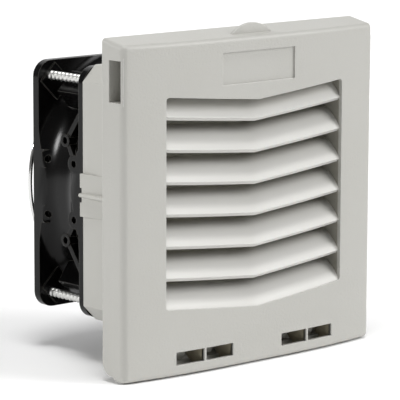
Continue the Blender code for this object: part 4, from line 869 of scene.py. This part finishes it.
    def louvre_walls(self) -> bpy.types.Object:
        """The four walls round the slats, a hair outside the opening's cut faces.

        Returns:
            The linked object.
        """
        half, low, high = np.array(self.opening) + (self.hair, -self.hair, self.hair)
        x = np.linspace(-half - self.cheek / 2, half + self.cheek / 2, 41)
        plates = []
        for edge, offset in ((high, 0.0), (low, -self.cheek)):
            front = -(self.depth_at(x) - self.front_wall / 2)
            base = self.vee(x, edge) + offset
            rear = np.full_like(x, -self.louvre_rear)
            section = np.stack([np.stack([front, base], -1), np.stack([front, base + self.cheek], -1),
                                np.stack([rear, base + self.cheek], -1), np.stack([rear, base], -1)], 1)
            plates.append(skin("plate", self.along(x, section)))
        front = -float(self.depth_at(np.array([half]))[0] - self.front_wall / 2)
        for side in (-1, 1):
            plates.append(block("cheek", (side * half, side * (half + self.cheek)),
                                (front, -self.louvre_rear), (low - self.cheek, high + self.cheek)))
        return joined("louvre_walls", plates)

    def tab(self) -> bpy.types.Object:
        """The half-moon thumb tab: a circular segment with a rounded rim, standing on the top face.

        Returns:
            The linked object.
        """
        half, height, thickness, front = self.tab_size
        radius = (half ** 2 + height ** 2) / (2 * height)
        foot = self.top - self.top_draft * front / (self.depth + self.bow)
        swing = math.asin(half / radius)
        rim, soft = self.tab_rim, self.tab_rim * 0.3
        loops = []
        for y, inset in ((-front, rim), (-front + soft, soft), (-front + rim, 0.0),
                         (-front + thickness - rim, 0.0), (-front + thickness - soft, soft),
                         (-front + thickness, rim)):
            crest = arc((0.0, foot + height - radius), radius - inset, math.pi / 2 - swing,
                        math.pi / 2 + swing, 40)
            outline = np.concatenate([crest, [(-half, foot - self.tab_root), (half, foot - self.tab_root)]])
            loops.append(np.stack([outline[:, 0], np.full(len(outline), y), outline[:, 1]], -1))
        return skin("thumb_tab", np.array(loops))

    def hinge_parts(self) -> bpy.types.Object:
        """Gussets between the front wall and the axis, and the two round pins that they carry.

        Returns:
            The linked object.
        """
        inner, outer, rib, _, window_top = self.windows
        wide, nose_radius, reach = self.gusset
        middle, half = (inner + outer) / 2, wide / 2
        floor = self.bottom + self.wall / 2
        parts = []
        for side in (-1, 1):
            for at, width in ((inner - half, wide), (middle, rib), (outer + half, wide)):
                front = -float(self.depth_at(np.array([at]))[0] - self.front_wall / 2)
                nose = arc(self.hinge, nose_radius, math.pi / 2, -math.pi / 2, 12)
                outline = np.concatenate([nose, [(-self.lip_rear - reach, floor), (front, floor),
                                                 (front, window_top)]])
                parts.append(prism("gusset", outline, 0, side * at - width / 2, side * at + width / 2))
            parts.append(side_prism("pin", circle(self.hinge, self.pin_radius), side, inner - half,
                                    outer + half))
        return joined("hinge_pins", parts)

    def build(self) -> None:
        """Makes every piece of the cover, all riding on its body in place of the CAD node."""
        grey = "abs_light_grey"
        place(self.shell(), ABS_GREY, "cover", grey, "louvre_cover")
        place(self.louvre_walls(), ABS_WALLS, "cover", grey, "louvre_cover")
        place(self.slats(), ABS_LOUVRE, "cover", grey, "louvre_cover")
        place(self.tab(), ABS_GREY, "cover", grey, "louvre_cover")
        place(self.hinge_parts(), ABS_RIBS, "cover", grey, "louvre_cover")


# ---- duct frame, grid, gasket and mat


@dataclass
class DuctFrame:
    """The fixed frame with its grid, gasket and filter mat."""

    mat_half: float = 57.2
    mat_front: float = 0.7
    mat_rear: float = 12.5
    mat_chamfer: float = 6.4
    mat_steps: int = 120
    pinch: int = 24  # power of the distance from the middle at which the rim closes
    swell: tuple = (0.55, 0.37)  # share of the half thickness at the rim, and what the inside adds
    lump_height: float = 0.25
    lump_waves: tuple = (5, 11, 23)  # half waves across the mat
    lump_seed: int = 7

    def mat(self) -> bpy.types.Object:
        """The mat: a sheet between two faces that bulge by noise and pinch together at the rim.

        Returns:
            The linked object.
        """
        steps = self.mat_steps
        side = np.linspace(-1, 1, steps)
        u, v = np.meshgrid(side, side, indexing="ij")
        x, z = u * self.mat_half, v * self.mat_half
        limit = 2 * self.mat_half - self.mat_chamfer
        over = np.clip((np.abs(x) + np.abs(z) - limit) / 2, 0, None)
        x, z = x - np.sign(x) * over, z - np.sign(z) * over
        rim = np.clip(1 - np.maximum(np.abs(u), np.abs(v)) ** self.pinch, 0, 1) ** 0.5
        rng = np.random.default_rng(self.lump_seed)
        rough = sum(self.lumps(u, v, rng, waves) / waves for waves in self.lump_waves)
        middle, half = (self.mat_front + self.mat_rear) / 2, (self.mat_rear - self.mat_front) / 2
        thin, more = self.swell
        swell = np.clip(half * (thin + more * rim) + self.lump_height * rough * rim, 0, half)
        faces = [np.stack([x, middle + sign * swell, z], -1) for sign in (-1, 1)]
        points = np.concatenate([face.reshape(-1, 3) for face in faces])
        quads = grid_faces(steps, steps)
        count = steps * steps
        edge = np.concatenate([np.arange(steps - 1), np.arange(steps - 1) * steps + steps - 1,
                               count - 1 - np.arange(steps - 1), (steps - 1 - np.arange(steps - 1)) * steps])
        after = np.roll(edge, -1)
        walls = np.stack([edge, after, after + count, edge + count], -1)
        return mesh_of("fibre_mat", points, np.concatenate([quads, quads + count, walls]).tolist(), 80)

    @staticmethod
    def lumps(u: Array, v: Array, rng: np.random.Generator, waves: int, count: int = 5) -> Array:
        """A smooth random relief: a sum of a few sine waves with random directions and phases.

        Args:
            u: places across the mat, from -1 to 1.
            v: places up the mat, from -1 to 1.
            rng: the source of the random draws.
            waves: half waves across the mat.
            count: number of sine waves.

        Returns:
            The relief at every place.
        """
        total = np.zeros_like(u)
        for _ in range(count):
            turn, phase = rng.uniform(0, math.tau, 2)
            total += np.sin(waves * math.pi * (u * math.cos(turn) + v * math.sin(turn)) + phase)
        return total

    def build(self) -> None:
        """Dresses the CAD frame, grid and gasket, and adds the mat."""
        dress(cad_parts["housing_frame"], ABS_PLAIN)
        dress(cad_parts["filter_support_grid"], ABS_PLAIN)
        dress(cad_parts["panel_gasket"], FOAM)
        mat = self.mat()
        place(mat, FIBRE, "frame", "white_fibre", "filter_mat")


# ---- fan


@dataclass
class AxialFan:
    """The fan: die casting, impeller, wire guard, long screws and the motor inside the hub."""

    front: float = 35.9
    depth: float = 38.0
    half: float = 59.5
    flange: float = 4.0
    corner: float = 8.0
    screw_half: float = 52.4
    screw_hole: float = 2.4
    past: float = 1.0  # how far a cutter reaches past a face
    bore: float = 56.8
    wall: float = 1.6
    flare: float = 64.5
    flare_length: float = 12.0
    margin: float = 1.7
    mouth_corner: float = 5.0
    clip_boss: tuple = (13.3, 4.2, 1.7)  # height, radius, radius of its hole
    clip_insets: tuple = (3.8, 5.4)  # from the front flange and from the rear one
    hole_depth: float = 3.0
    link_boss: tuple = (50.0, 23.8, 3.1)  # y, height, radius
    link_foot: tuple = (37.9, 40.0)  # y, height
    link_width: float = 2.4
    link_inset: float = 0.8
    side_opening: tuple = ((40.2, 19.9), (45.1, 19.9), (46.3, 22.3), (46.3, 25.7), (40.2, 33.9))
    front_web: tuple = (21.8, 24.5, 12.4, 6.3)  # level length, whole length, rise, half width
    rear_web: tuple = (0.9, 0.9, 18.0, 6.0)
    strut_root: float = 31.9
    strut_widths: tuple = (5.0, 4.0)
    strut_heights: tuple = (0.3, 4.5)  # of its foot and crest behind the front face
    base: tuple = ((0.5, 0.0), (32.6, 0.0), (33.0, 0.4), (33.0, 4.5), (30.8, 4.5), (30.8, 2.2), (11.0, 2.2),
                   (11.0, 7.2), (8.7, 7.2), (8.7, 2.2), (0.5, 2.2))  # (radius, y)
    hub: float = 30.7
    hub_rear: float = 36.4
    hub_front: float = 9.2
    cup_wall: float = 2.2
    cup_edge: float = 1.5
    cup_boss: tuple = (2.3, 5.0, 4.0)  # inner radius, outer radius, height
    dimple: tuple = (6.0, 5.6, 0.5)  # radius at the face, radius at its floor, depth
    blades: int = 7
    blade_root: float = 1.1  # how deep a blade stands in the hub
    blade_gap: float = 1.3
    blade_reach: tuple = (11.0, 22.0)  # its start behind the front face, and its depth
    wrap: tuple = (40.0, -13.0)  # degrees round the hub, and what the way to the tip adds
    sweep: tuple = (16.0, 1.5)  # degrees at the tip, and the power of the span
    camber: float = 5.0  # degrees
    blade_swell: float = 1.8 * 0.8
    blade_edges: tuple = (0.12, 0.76)  # part of a half sine wave that the section's thickness follows
    guard_rings: tuple = (57.6, 47.6, 37.6, 27.6, 17.6)
    guard_rise: float = 5.1
    wire: float = 1.0
    seat_gap: float = 0.3
    lap: float = 1.6  # of the spokes behind the rings, in wire radii
    spoke_knots: tuple = (15.6, 57.6, 60.5, 64.0, 67.5, 70.0)  # radii at which a spoke bends
    spoke_dips: tuple = (0.8, 0.4)  # how far the bend is under way at the third and fifth of them
    spoke_end: float = 3.4
    eyelet: float = 3.5
    thread: tuple = (2.85, 1.6, 2.2)  # pitch, radius at the root, radius at the crest
    ridge: float = 0.3  # half width as a share of the pitch
    # How far under the crest the painted shade of the thread's roots begins
    bright_crest: float = 0.2
    screw_tip: float = 35.6 - 14.0  # 14 mm into the bosses on the duct's rear wall
    screw_point: tuple = (3.0, 0.15)  # length, and the share of the radius at its end
    screw_neck: float = 2.5
    screw_head: tuple = ((-2.4, 1.9), (-0.02, 1.9), (0.0, 3.9), (0.5, 4.0), (1.3, 3.85), (2.0, 3.3),
                         (2.4, 2.7))  # (y from its seat, radius)
    slot: tuple = (1.9, 0.4, 0.9)  # half length, half width, height of its floor over the seat
    rear: float = field(init=False)
    barrel: float = field(init=False)

    def __post_init__(self) -> None:
        """The rear face follows from the front and the depth, the barrel from the bore and the wall."""
        self.rear = self.front + self.depth
        self.barrel = self.bore + self.wall

    def flare_points(self, face_radius: float, waist: float, face: float, inward: int) -> Array:
        """A quarter ellipse from the waist to the radius at a face.

        Args:
            face_radius: radius at the face.
            waist: radius of the straight part.
            face: the face's place along Y.
            inward: the direction along Y away from the face.

        Returns:
            The points as (radius, y), from the straight part to the face.
        """
        angle = np.linspace(0, math.pi / 2, 15)
        return np.stack([waist + (face_radius - waist) * (1 - np.cos(angle)),
                         face + inward * self.flare_length * (1 - np.sin(angle))], -1)

    def casting(self) -> bpy.types.Object:
        """The body: a flanged spool cut square, with bosses, ribs and webs outside and bell mouths inside.

        Returns:
            The linked object.
        """
        faces = self.faces()
        reach = self.half * 1.5  # past the corners of the square
        front, rear = (self.flare_points(self.flare + self.wall, self.barrel, face, inward)
                       for face, inward, _, _ in faces)
        inner_front, inner_rear = faces[0][0], faces[1][0]
        profile = np.concatenate([[(self.bore, self.front), (reach, self.front), (reach, inner_front)],
                                  front[::-1], rear, [(reach, inner_rear), (reach, self.rear),
                                                      (self.bore, self.rear)]])
        body = turned("fan_casting", profile)
        square = rounded_rectangle((-self.half, -self.half), (self.half, self.half), self.corner, steps=12)
        ends = (self.front - self.past, self.rear + self.past)
        shape(body, prism("square", square, 1, *ends), Direction.LIMIT)
        quarters = [(side, sign) for side in (-1, 1) for sign in (-1, 1)]
        bosses = [self.clip(side, sign, *face[:3]) for side, sign in quarters for face in faces]
        bosses += [self.round_boss(side, sign) for side, sign in quarters]
        foot, middle = self.link_foot, self.link_boss[:2]
        clip_centre = (inner_front + self.clip_insets[0], self.clip_boss[0])
        webs = [self.web(turn, face, inward, *sizes) for turn in range(4) for face, inward, _, sizes in faces]
        for group in (bosses, [self.band(*quarter, foot, middle) for quarter in quarters],
                      [self.band(*quarter, middle, clip_centre) for quarter in quarters], webs):
            shape(body, joined("outside", group), Direction.JOIN)
        core = self.base[0][0]
        shape(body, turned("bore", np.array([(core, ends[0]), (self.bore, ends[0]), (self.bore, ends[1]),
                                             (core, ends[1])])), Direction.CUT)
        for face, inward in ((self.front, 1), (self.rear, -1)):
            shape(body, self.bell_mouth(face, inward), Direction.CUT)
        shape(body, joined("struts", [self.strut((k + 0.5) * math.pi / 2) for k in range(4)]), Direction.JOIN)
        shape(body, self.motor_base(), Direction.JOIN)
        shape(body, joined("holes", self.holes(quarters)), Direction.CUT)
        tidy(body, 32)
        return body

    def faces(self) -> list:
        """For each flange: its inner face, the direction inwards, the clip's inset and the web's sizes."""
        return [(self.front + self.flange, 1, self.clip_insets[0], self.front_web),
                (self.rear - self.flange, -1, self.clip_insets[1], self.rear_web)]

    def corners(self) -> list:
        """Centres of the four screw holes."""
        return [(sx * self.screw_half, sz * self.screw_half) for sz in (1, -1) for sx in (-1, 1)]

    def clip(self, side: int, sign: int, face: float, inward: int, inset: float) -> bpy.types.Object:
        """A clip boss: a round-nosed tongue that grows out of a flange, flush with the side.

        Args:
            side: 1 for the right, -1 for the left.
            sign: 1 for the upper, -1 for the lower.
            face: the flange's inner face.
            inward: the direction away from the flange.
            inset: from that face to the boss's centre.

        Returns:
            The linked object.
        """
        height, radius, _ = self.clip_boss
        centre = (face + inward * inset, sign * height)
        nose = arc(centre, radius, -inward * math.pi / 2, inward * math.pi / 2, 20)
        foot = face - inward * self.flange / 2
        outline = np.concatenate([nose, [(foot, centre[1] + inward * radius),
                                         (foot, centre[1] - inward * radius)]])
        return side_prism("boss", outline, side, self.bore - self.wall / 2, self.half)

    def round_boss(self, side: int, sign: int) -> bpy.types.Object:
        """The round boss in which the two ribs of a quarter meet.

        Args:
            side: 1 for the right, -1 for the left.
            sign: 1 for the upper, -1 for the lower.

        Returns:
            The linked object.
        """
        y, z, radius = self.link_boss
        root = math.sqrt(self.bore ** 2 - z ** 2)
        return side_prism("boss", circle((y, sign * z), radius, 28), side, root, self.half)

    def band(self, side: int, sign: int, start: tuple, end: tuple) -> bpy.types.Object:
        """A rib on the side between two (y, height) points, half a width to each side of their line.

        Args:
            side: 1 for the right, -1 for the left.
            sign: 1 for the upper, -1 for the lower.
            start: one end as (y, height).
            end: the other end.

        Returns:
            The linked object.
        """
        start, end = np.array(start), np.array(end)
        along = (end - start) / np.linalg.norm(end - start)
        across = np.array([-along[1], along[0]]) * self.link_width / 2
        outline = np.array([start + across, end + across, end - across, start - across]) * (1, sign)
        root = math.sqrt(self.bore ** 2 - self.link_foot[1] ** 2)
        return side_prism("rib", outline, side, root, self.half - self.link_inset)

    def web(self, turn: int, face: float, inward: int, flat: float, length: float, rise: float,
            half: float) -> bpy.types.Object:
        """A corner web or, when short and high, a pad: level for a way from the flange, then sloping down.

        Args:
            turn: which corner, in quarter turns.
            face: the flange's inner face.
            inward: the direction along Y away from the flange.
            flat: length of its level part.
            length: its whole length.
            rise: its height over the barrel.
            half: half its width.

        Returns:
            The web.
        """
        angle = math.pi / 4 + turn * math.pi / 2
        foot, crest = self.barrel - self.wall / 2, self.barrel + rise
        start = face - inward * self.flange / 2
        r, y = np.array([(foot, start), (crest, start), (crest, face + inward * flat),
                         (foot, face + inward * length)]).T
        loops = [np.stack([r * math.cos(angle) - w * math.sin(angle), y,
                           r * math.sin(angle) + w * math.cos(angle)], -1) for w in (-half, half)]
        return skin("web", np.array(loops))

    def holes(self, quarters: list) -> list:
        """Cutters of the clip and link holes, the side openings and the screw holes.

        Args:
            quarters: pairs of side and sign.

        Returns:
            The linked cutters.
        """
        height, _, radius = self.clip_boss
        spots = [(face + inward * inset, height) for face, inward, inset, _ in self.faces()]
        made = []
        inner = self.bore * math.cos(math.asin(self.link_foot[1] / self.bore))
        for side, sign in quarters:
            for y, z in spots + [self.link_boss[:2]]:
                made.append(side_prism("hole", circle((y, sign * z), radius), side,
                                       self.half - self.hole_depth, self.half + self.past))
            made.append(side_prism("hole", np.array(self.side_opening) * (1, sign), side, inner,
                                   self.half + self.past))
        for centre in self.corners():
            made.append(prism("hole", circle(centre, self.screw_hole), 1, self.front - self.past,
                              self.rear + self.past))
        return made

    def bell_mouth(self, face: float, inward: int) -> bpy.types.Object:
        """The cutter of one bell mouth, kept inside the casting's sides.

        Args:
            face: the face that it opens to.
            inward: the direction along Y away from the face.

        Returns:
            The linked cutter.
        """
        points = self.flare_points(self.flare, self.bore, face, inward)
        past = face - inward * self.flange
        inside = self.bore - self.wall
        profile = np.concatenate([[(inside, points[0, 1])], points, [(self.flare, past), (inside, past)]])
        cutter = turned("mouth", profile)
        half = self.half - self.margin
        limit = rounded_rectangle((-half, -half), (half, half), self.mouth_corner)
        ends = sorted((past - inward, points[0, 1] + inward))
        shape(cutter, prism("limit", limit, 1, *ends), Direction.LIMIT)
        return cutter

    def strut(self, angle: float) -> bpy.types.Object:
        """A tapered arm from the motor base to the bore, half as wide at its crest as at its foot.

        Args:
            angle: its direction from the axis in radians.

        Returns:
            The linked object.
        """
        loops = []
        foot, crest = (self.front + height for height in self.strut_heights)
        for radius, width in zip((self.strut_root, self.flare + self.wall / 2), self.strut_widths):
            half = width / 2
            section = np.array([(-half, foot), (half, foot), (half * 0.5, crest), (-half * 0.5, crest)])
            x = radius * math.cos(angle) - section[:, 0] * math.sin(angle)
            z = radius * math.sin(angle) + section[:, 0] * math.cos(angle)
            loops.append(np.stack([x, section[:, 1], z], -1))
        return skin("strut", np.array(loops))

    def motor_base(self) -> bpy.types.Object:
        """The spider's disc and collar, a turned shape."""
        return turned("motor_base", np.array(self.base) + (0.0, self.front), 96)

    def hub_shell(self) -> bpy.types.Object:
        """The impeller's cup with a rounded rear edge, a boss inside and a dimple behind.

        Returns:
            The linked object.
        """
        front, rear = self.front + self.hub_front, self.front + self.hub_rear
        floor, inner, round_off = rear - self.cup_wall, self.hub - self.cup_wall, self.cup_edge
        edge = arc((self.hub - round_off, rear - round_off), round_off, 0, math.pi / 2, 6)
        shaft, boss, height = self.cup_boss
        brink, bed, deep = self.dimple
        profile = np.concatenate([[(shaft, floor - height), (boss, floor - height), (boss, floor),
                                   (inner, floor), (inner, front), (self.hub, front)], edge,
                                  [(brink, rear), (bed, rear - deep), (shaft, rear - deep)]])
        return turned("impeller_hub", profile, 96)

    def blade(self, index: int) -> bpy.types.Object:
        """A blade: an arc-shaped thin section whose chord turns and sweeps as it leaves the hub.

        Args:
            index: its number from 0.

        Returns:
            The linked object.
        """
        span = np.linspace(0, 1, 14)[:, None]
        along = np.linspace(0, 1, 15)[None, :]
        root, gap = self.blade_root, self.blade_gap
        (start, deep), (first, part) = self.blade_reach, self.blade_edges
        radius = self.hub - root + (self.bore - gap - self.hub + root) * span
        wrap = math.radians(self.wrap[0]) + math.radians(self.wrap[1]) * span
        centre = math.tau * index / self.blades + math.radians(self.sweep[0]) * span ** self.sweep[1]
        y = self.front + start + deep * along + 0 * span
        angle = centre + wrap * (along - 0.5) + math.radians(self.camber) * np.sin(math.pi * along)
        swell = self.blade_swell * np.sin(math.pi * (first + part * along)) / radius
        sides = [np.stack([radius * np.cos(a), y, radius * np.sin(a)], -1)
                 for a in (angle - swell, angle + swell)]
        return skin("blade", np.concatenate([sides[0], sides[1][:, ::-1]], 1), sharp=50)

    def ring(self, centre: tuple, radius: float, y: float, steps: int) -> bpy.types.Object:
        """A ring of the guard's wire round an (x, z) centre, in the plane at y.

        Args:
            centre: its centre as (x, z).
            radius: of its centreline.
            y: place of its plane.
            steps: number of chords.

        Returns:
            The linked object.
        """
        angle = turns(steps)
        path = np.stack([centre[0] + radius * np.cos(angle), np.full_like(angle, y),
                         centre[1] + radius * np.sin(angle)], -1)
        return tube("ring", path, self.wire, closed=True)

    def guard(self) -> bpy.types.Object:
        """The wire guard: rings, four bent spokes behind them and an eyelet round each screw.

        A spoke's bends are straight lines between its knots, softened by a running mean of five points.

        Returns:
            The linked object.
        """
        plane = self.rear + self.guard_rise
        wires = [self.ring((0.0, 0.0), radius, plane, 120) for radius in self.guard_rings]
        behind, seat = plane + self.wire * self.lap, self.rear + self.seat_gap + self.wire
        leave, land = self.spoke_dips
        knots = np.array([behind, behind, behind - leave, (behind + seat) / 2, seat + land, seat])
        r = np.linspace(self.spoke_knots[0], self.screw_half * math.sqrt(2) - self.spoke_end, 60)
        y = np.convolve(np.pad(np.interp(r, self.spoke_knots, knots), 2, "edge"), np.ones(5) / 5, "valid")
        for turn in np.arange(4) * math.pi / 2 + math.pi / 4:
            wires.append(tube("spoke", np.stack([r * math.cos(turn), y, r * math.sin(turn)], -1), self.wire))
        wires += [self.ring(corner, self.eyelet, seat, 48) for corner in self.corners()]
        return joined("wire_guard", wires)

    def screw(self, x: float, z: float) -> bpy.types.Object:
        """A long screw: radius = root + height * ridge(y / pitch - turn), with a domed cross-recess head.

        The thread is coarse, with narrow ridges far apart, as the photograph shows it. The groove
        attribute, for painted shade in the thread's roots, is 1 at the root and 0 at the crest and on the
        head.

        Args:
            x: place of its axis.
            z: place of its axis.

        Returns:
            The screw.
        """
        pitch, root, crest = self.thread
        seat = self.rear + self.seat_gap + 2 * self.wire + self.seat_gap
        tip, neck = self.screw_tip, seat - self.screw_neck
        y = np.arange(tip, neck, 0.15)
        turn = turns(40)
        phase = (y[:, None] / pitch - turn[None, :] / math.tau) % 1.0
        ridge = np.clip(1 - np.abs(phase - 0.5) / self.ridge, 0, 1)
        length, least = self.screw_point
        taper = np.clip((y - tip) / length, least, 1)[:, None]
        radius = (root + (crest - root) * ridge) * taper
        thread = np.stack(np.broadcast_arrays(radius * np.cos(turn), y[:, None], radius * np.sin(turn)), -1)
        head = np.stack([np.stack([r * np.cos(turn), np.full_like(turn, seat + up), r * np.sin(turn)], -1)
                         for up, r in self.screw_head])
        loops = np.concatenate([thread, head]) + (x, 0.0, z)
        made = skin("long_screw", loops, sharp=60)
        long, short, floor = self.slot
        for a, b in ((long, short), (short, long)):
            shape(made, block("slot", (x - a, x + a), (seat + floor, seat + 4), (z - b, z + b)),
                  Direction.CUT)
        tidy(made, 60)
        spots = spots_of(made)
        radius = np.hypot(spots[:, 0] - x, spots[:, 2] - z)
        bright = self.bright_crest
        # Painted shade in the thread's roots, growing from just under the crest to the root
        mark_painted_shade(made, (crest - bright - radius) / (crest - root - bright) * (spots[:, 1] < neck))
        return made

    def build(self) -> None:
        """Makes the fan's pieces and dresses the CAD nodes that stay."""
        place(self.casting(), PAINTED_CASTING, "frame", "black_casting", "fan_housing")
        place(self.hub_shell(), BLACK_PBT, "rotor", "black_plastic", "impeller")
        place(joined("impeller_blades", [self.blade(k) for k in range(self.blades)]), BLACK_PBT, "rotor",
              "black_plastic", "impeller")
        place(self.guard(), BRIGHT_WIRE, "frame", "guard_wire", "finger_guard")
        for index, (x, z) in enumerate(self.corners()):
            screw = self.screw(x, z)
            screw.name = f"threaded_screw_{index + 1}"
            place(screw, ZINC, "frame", "zinc_plated_steel", f"fan_screw_{index + 1}")
        kept = {"bearing_tube": BRASS, "earth_screw": BRASS, "terminal_tab_1": TINNED,
                "terminal_tab_2": TINNED, "terminal_block": BLACK_PBT, "front_bearing": GROUND_STEEL,
                "rear_bearing": GROUND_STEEL, "rotor_shaft": GROUND_STEEL, "shaft_clip": GROUND_STEEL,
                "preload_spring": GROUND_STEEL,
                "stator_core": LAMINATIONS, "rotor_ring": LAMINATIONS, "front_end_ring": CAST_ALUMINIUM,
                "rear_end_ring": CAST_ALUMINIUM, "front_winding_insulator": NYLON,
                "rear_winding_insulator": NYLON, "thrust_washer": NYLON}
        kept |= {f"stator_coil_{k}": COPPER for k in range(1, 5)}
        for node, finish in kept.items():
            dress(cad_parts[node], finish)


# ---- studio


@dataclass
class Studio:
    """Camera at the photograph's angle, pale floor and soft light."""

    yaw: float = 41.62
    pitch: float = 9.61
    roll: float = 0.20
    target: tuple = (-1.4, 20.0, -7.0)
    distance: float = 1306.0
    lens: float = 246.9
    sensor: float = 36.0
    clip: tuple = (0.05, 20.0)  # metres
    sky: float = 0.14
    backdrop: float = 0.92
    suns: tuple = (("overhead", (-0.12, -0.15, 1.0), 1.6, 20.0),  # name, direction, power, width
                   ("front_right", (0.85, -1.0, 0.85), 1.93, 36.0),
                   ("left", (-0.85, 0.50, 0.42), 1.28, 14.0), ("rear", (0.5, 1.0, 0.6), 0.5, 50.0))
    floor: tuple = (3000.0, -79.6)  # half width, height

    def axes(self) -> tuple[Vector, Vector, Vector]:
        """Right, up and forward of the camera: turned about Z, tipped down, then rolled.

        Returns:
            The three unit vectors.
        """
        yaw, pitch, roll = (math.radians(v) for v in (self.yaw, self.pitch, self.roll))
        forward = Vector((math.sin(yaw) * math.cos(pitch), math.cos(yaw) * math.cos(pitch),
                          -math.sin(pitch)))
        right = Vector((math.cos(yaw), -math.sin(yaw), 0.0))
        up = right.cross(forward)
        return (right * math.cos(roll) + up * math.sin(roll),
                up * math.cos(roll) - right * math.sin(roll), forward)

    def camera(self) -> None:
        """Places the camera on its axis at the fitted distance."""
        data = bpy.data.cameras.new("photo_camera")
        data.lens, data.sensor_width, (data.clip_start, data.clip_end) = self.lens, self.sensor, self.clip
        made = bpy.data.objects.new("photo_camera", data)
        bpy.context.scene.collection.objects.link(made)
        right, up, forward = self.axes()
        at = Vector(self.target) * MM - forward * self.distance * MM
        made.matrix_world = Matrix(((right.x, up.x, -forward.x, at.x), (right.y, up.y, -forward.y, at.y),
                                    (right.z, up.z, -forward.z, at.z), (0.0, 0.0, 0.0, 1.0)))
        bpy.context.scene.camera = made

    def sun(self, name: str, towards: tuple, power: float, spread: float) -> None:
        """A soft light that is equally strong everywhere.

        Args:
            name: the light's name.
            towards: direction from the object to the light.
            power: in watts per square metre.
            spread: its apparent width in degrees.
        """
        data = bpy.data.lights.new(name, "SUN")
        data.energy, data.angle = power, math.radians(spread)
        made = bpy.data.objects.new(name, data)
        made.rotation_euler = Vector(towards).normalized().to_track_quat("Z", "Y").to_euler()
        bpy.context.scene.collection.objects.link(made)

    def build(self) -> None:
        """Camera, floor, world and lights; the backdrop is pale to the eye and dim as a light."""
        self.camera()
        wide, level = self.floor
        spots = [(-wide, -wide, level), (wide, -wide, level), (wide, wide, level), (-wide, wide, level)]
        floor = mesh_of("pale_floor", np.array(spots), [[0, 1, 2, 3]])
        dress(floor, Finish("pale_paper_floor", "FFFFFF", "FDFDFD", 0.9, grain=2.0, relief=0.01))
        world = bpy.data.worlds.new("studio")
        bpy.context.scene.world = world
        world.use_nodes = True
        tree = world.node_tree
        lit, seen = tree.nodes["Background"], tree.nodes.new("ShaderNodeBackground")
        for background, strength in ((lit, self.sky), (seen, self.backdrop)):
            background.inputs["Color"].default_value = (1.0, 1.0, 1.0, 1.0)
            background.inputs["Strength"].default_value = strength
        path, choice = tree.nodes.new("ShaderNodeLightPath"), tree.nodes.new("ShaderNodeMixShader")
        tree.links.new(path.outputs["Is Camera Ray"], choice.inputs[0])
        tree.links.new(lit.outputs["Background"], choice.inputs[1])
        tree.links.new(seen.outputs["Background"], choice.inputs[2])
        tree.links.new(choice.outputs["Shader"], tree.nodes["World Output"].inputs["Surface"])
        for settings in self.suns:
            self.sun(*settings)
        bpy.context.scene.view_settings.view_transform = "Standard"


def main() -> None:
    """Builds the classes in order."""
    logging.basicConfig(level=logging.INFO, format="%(message)s")
    Studio().build()
    LouvreCover().build()
    DuctFrame().build()
    AxialFan().build()


if __name__ == "__main__":
    main()
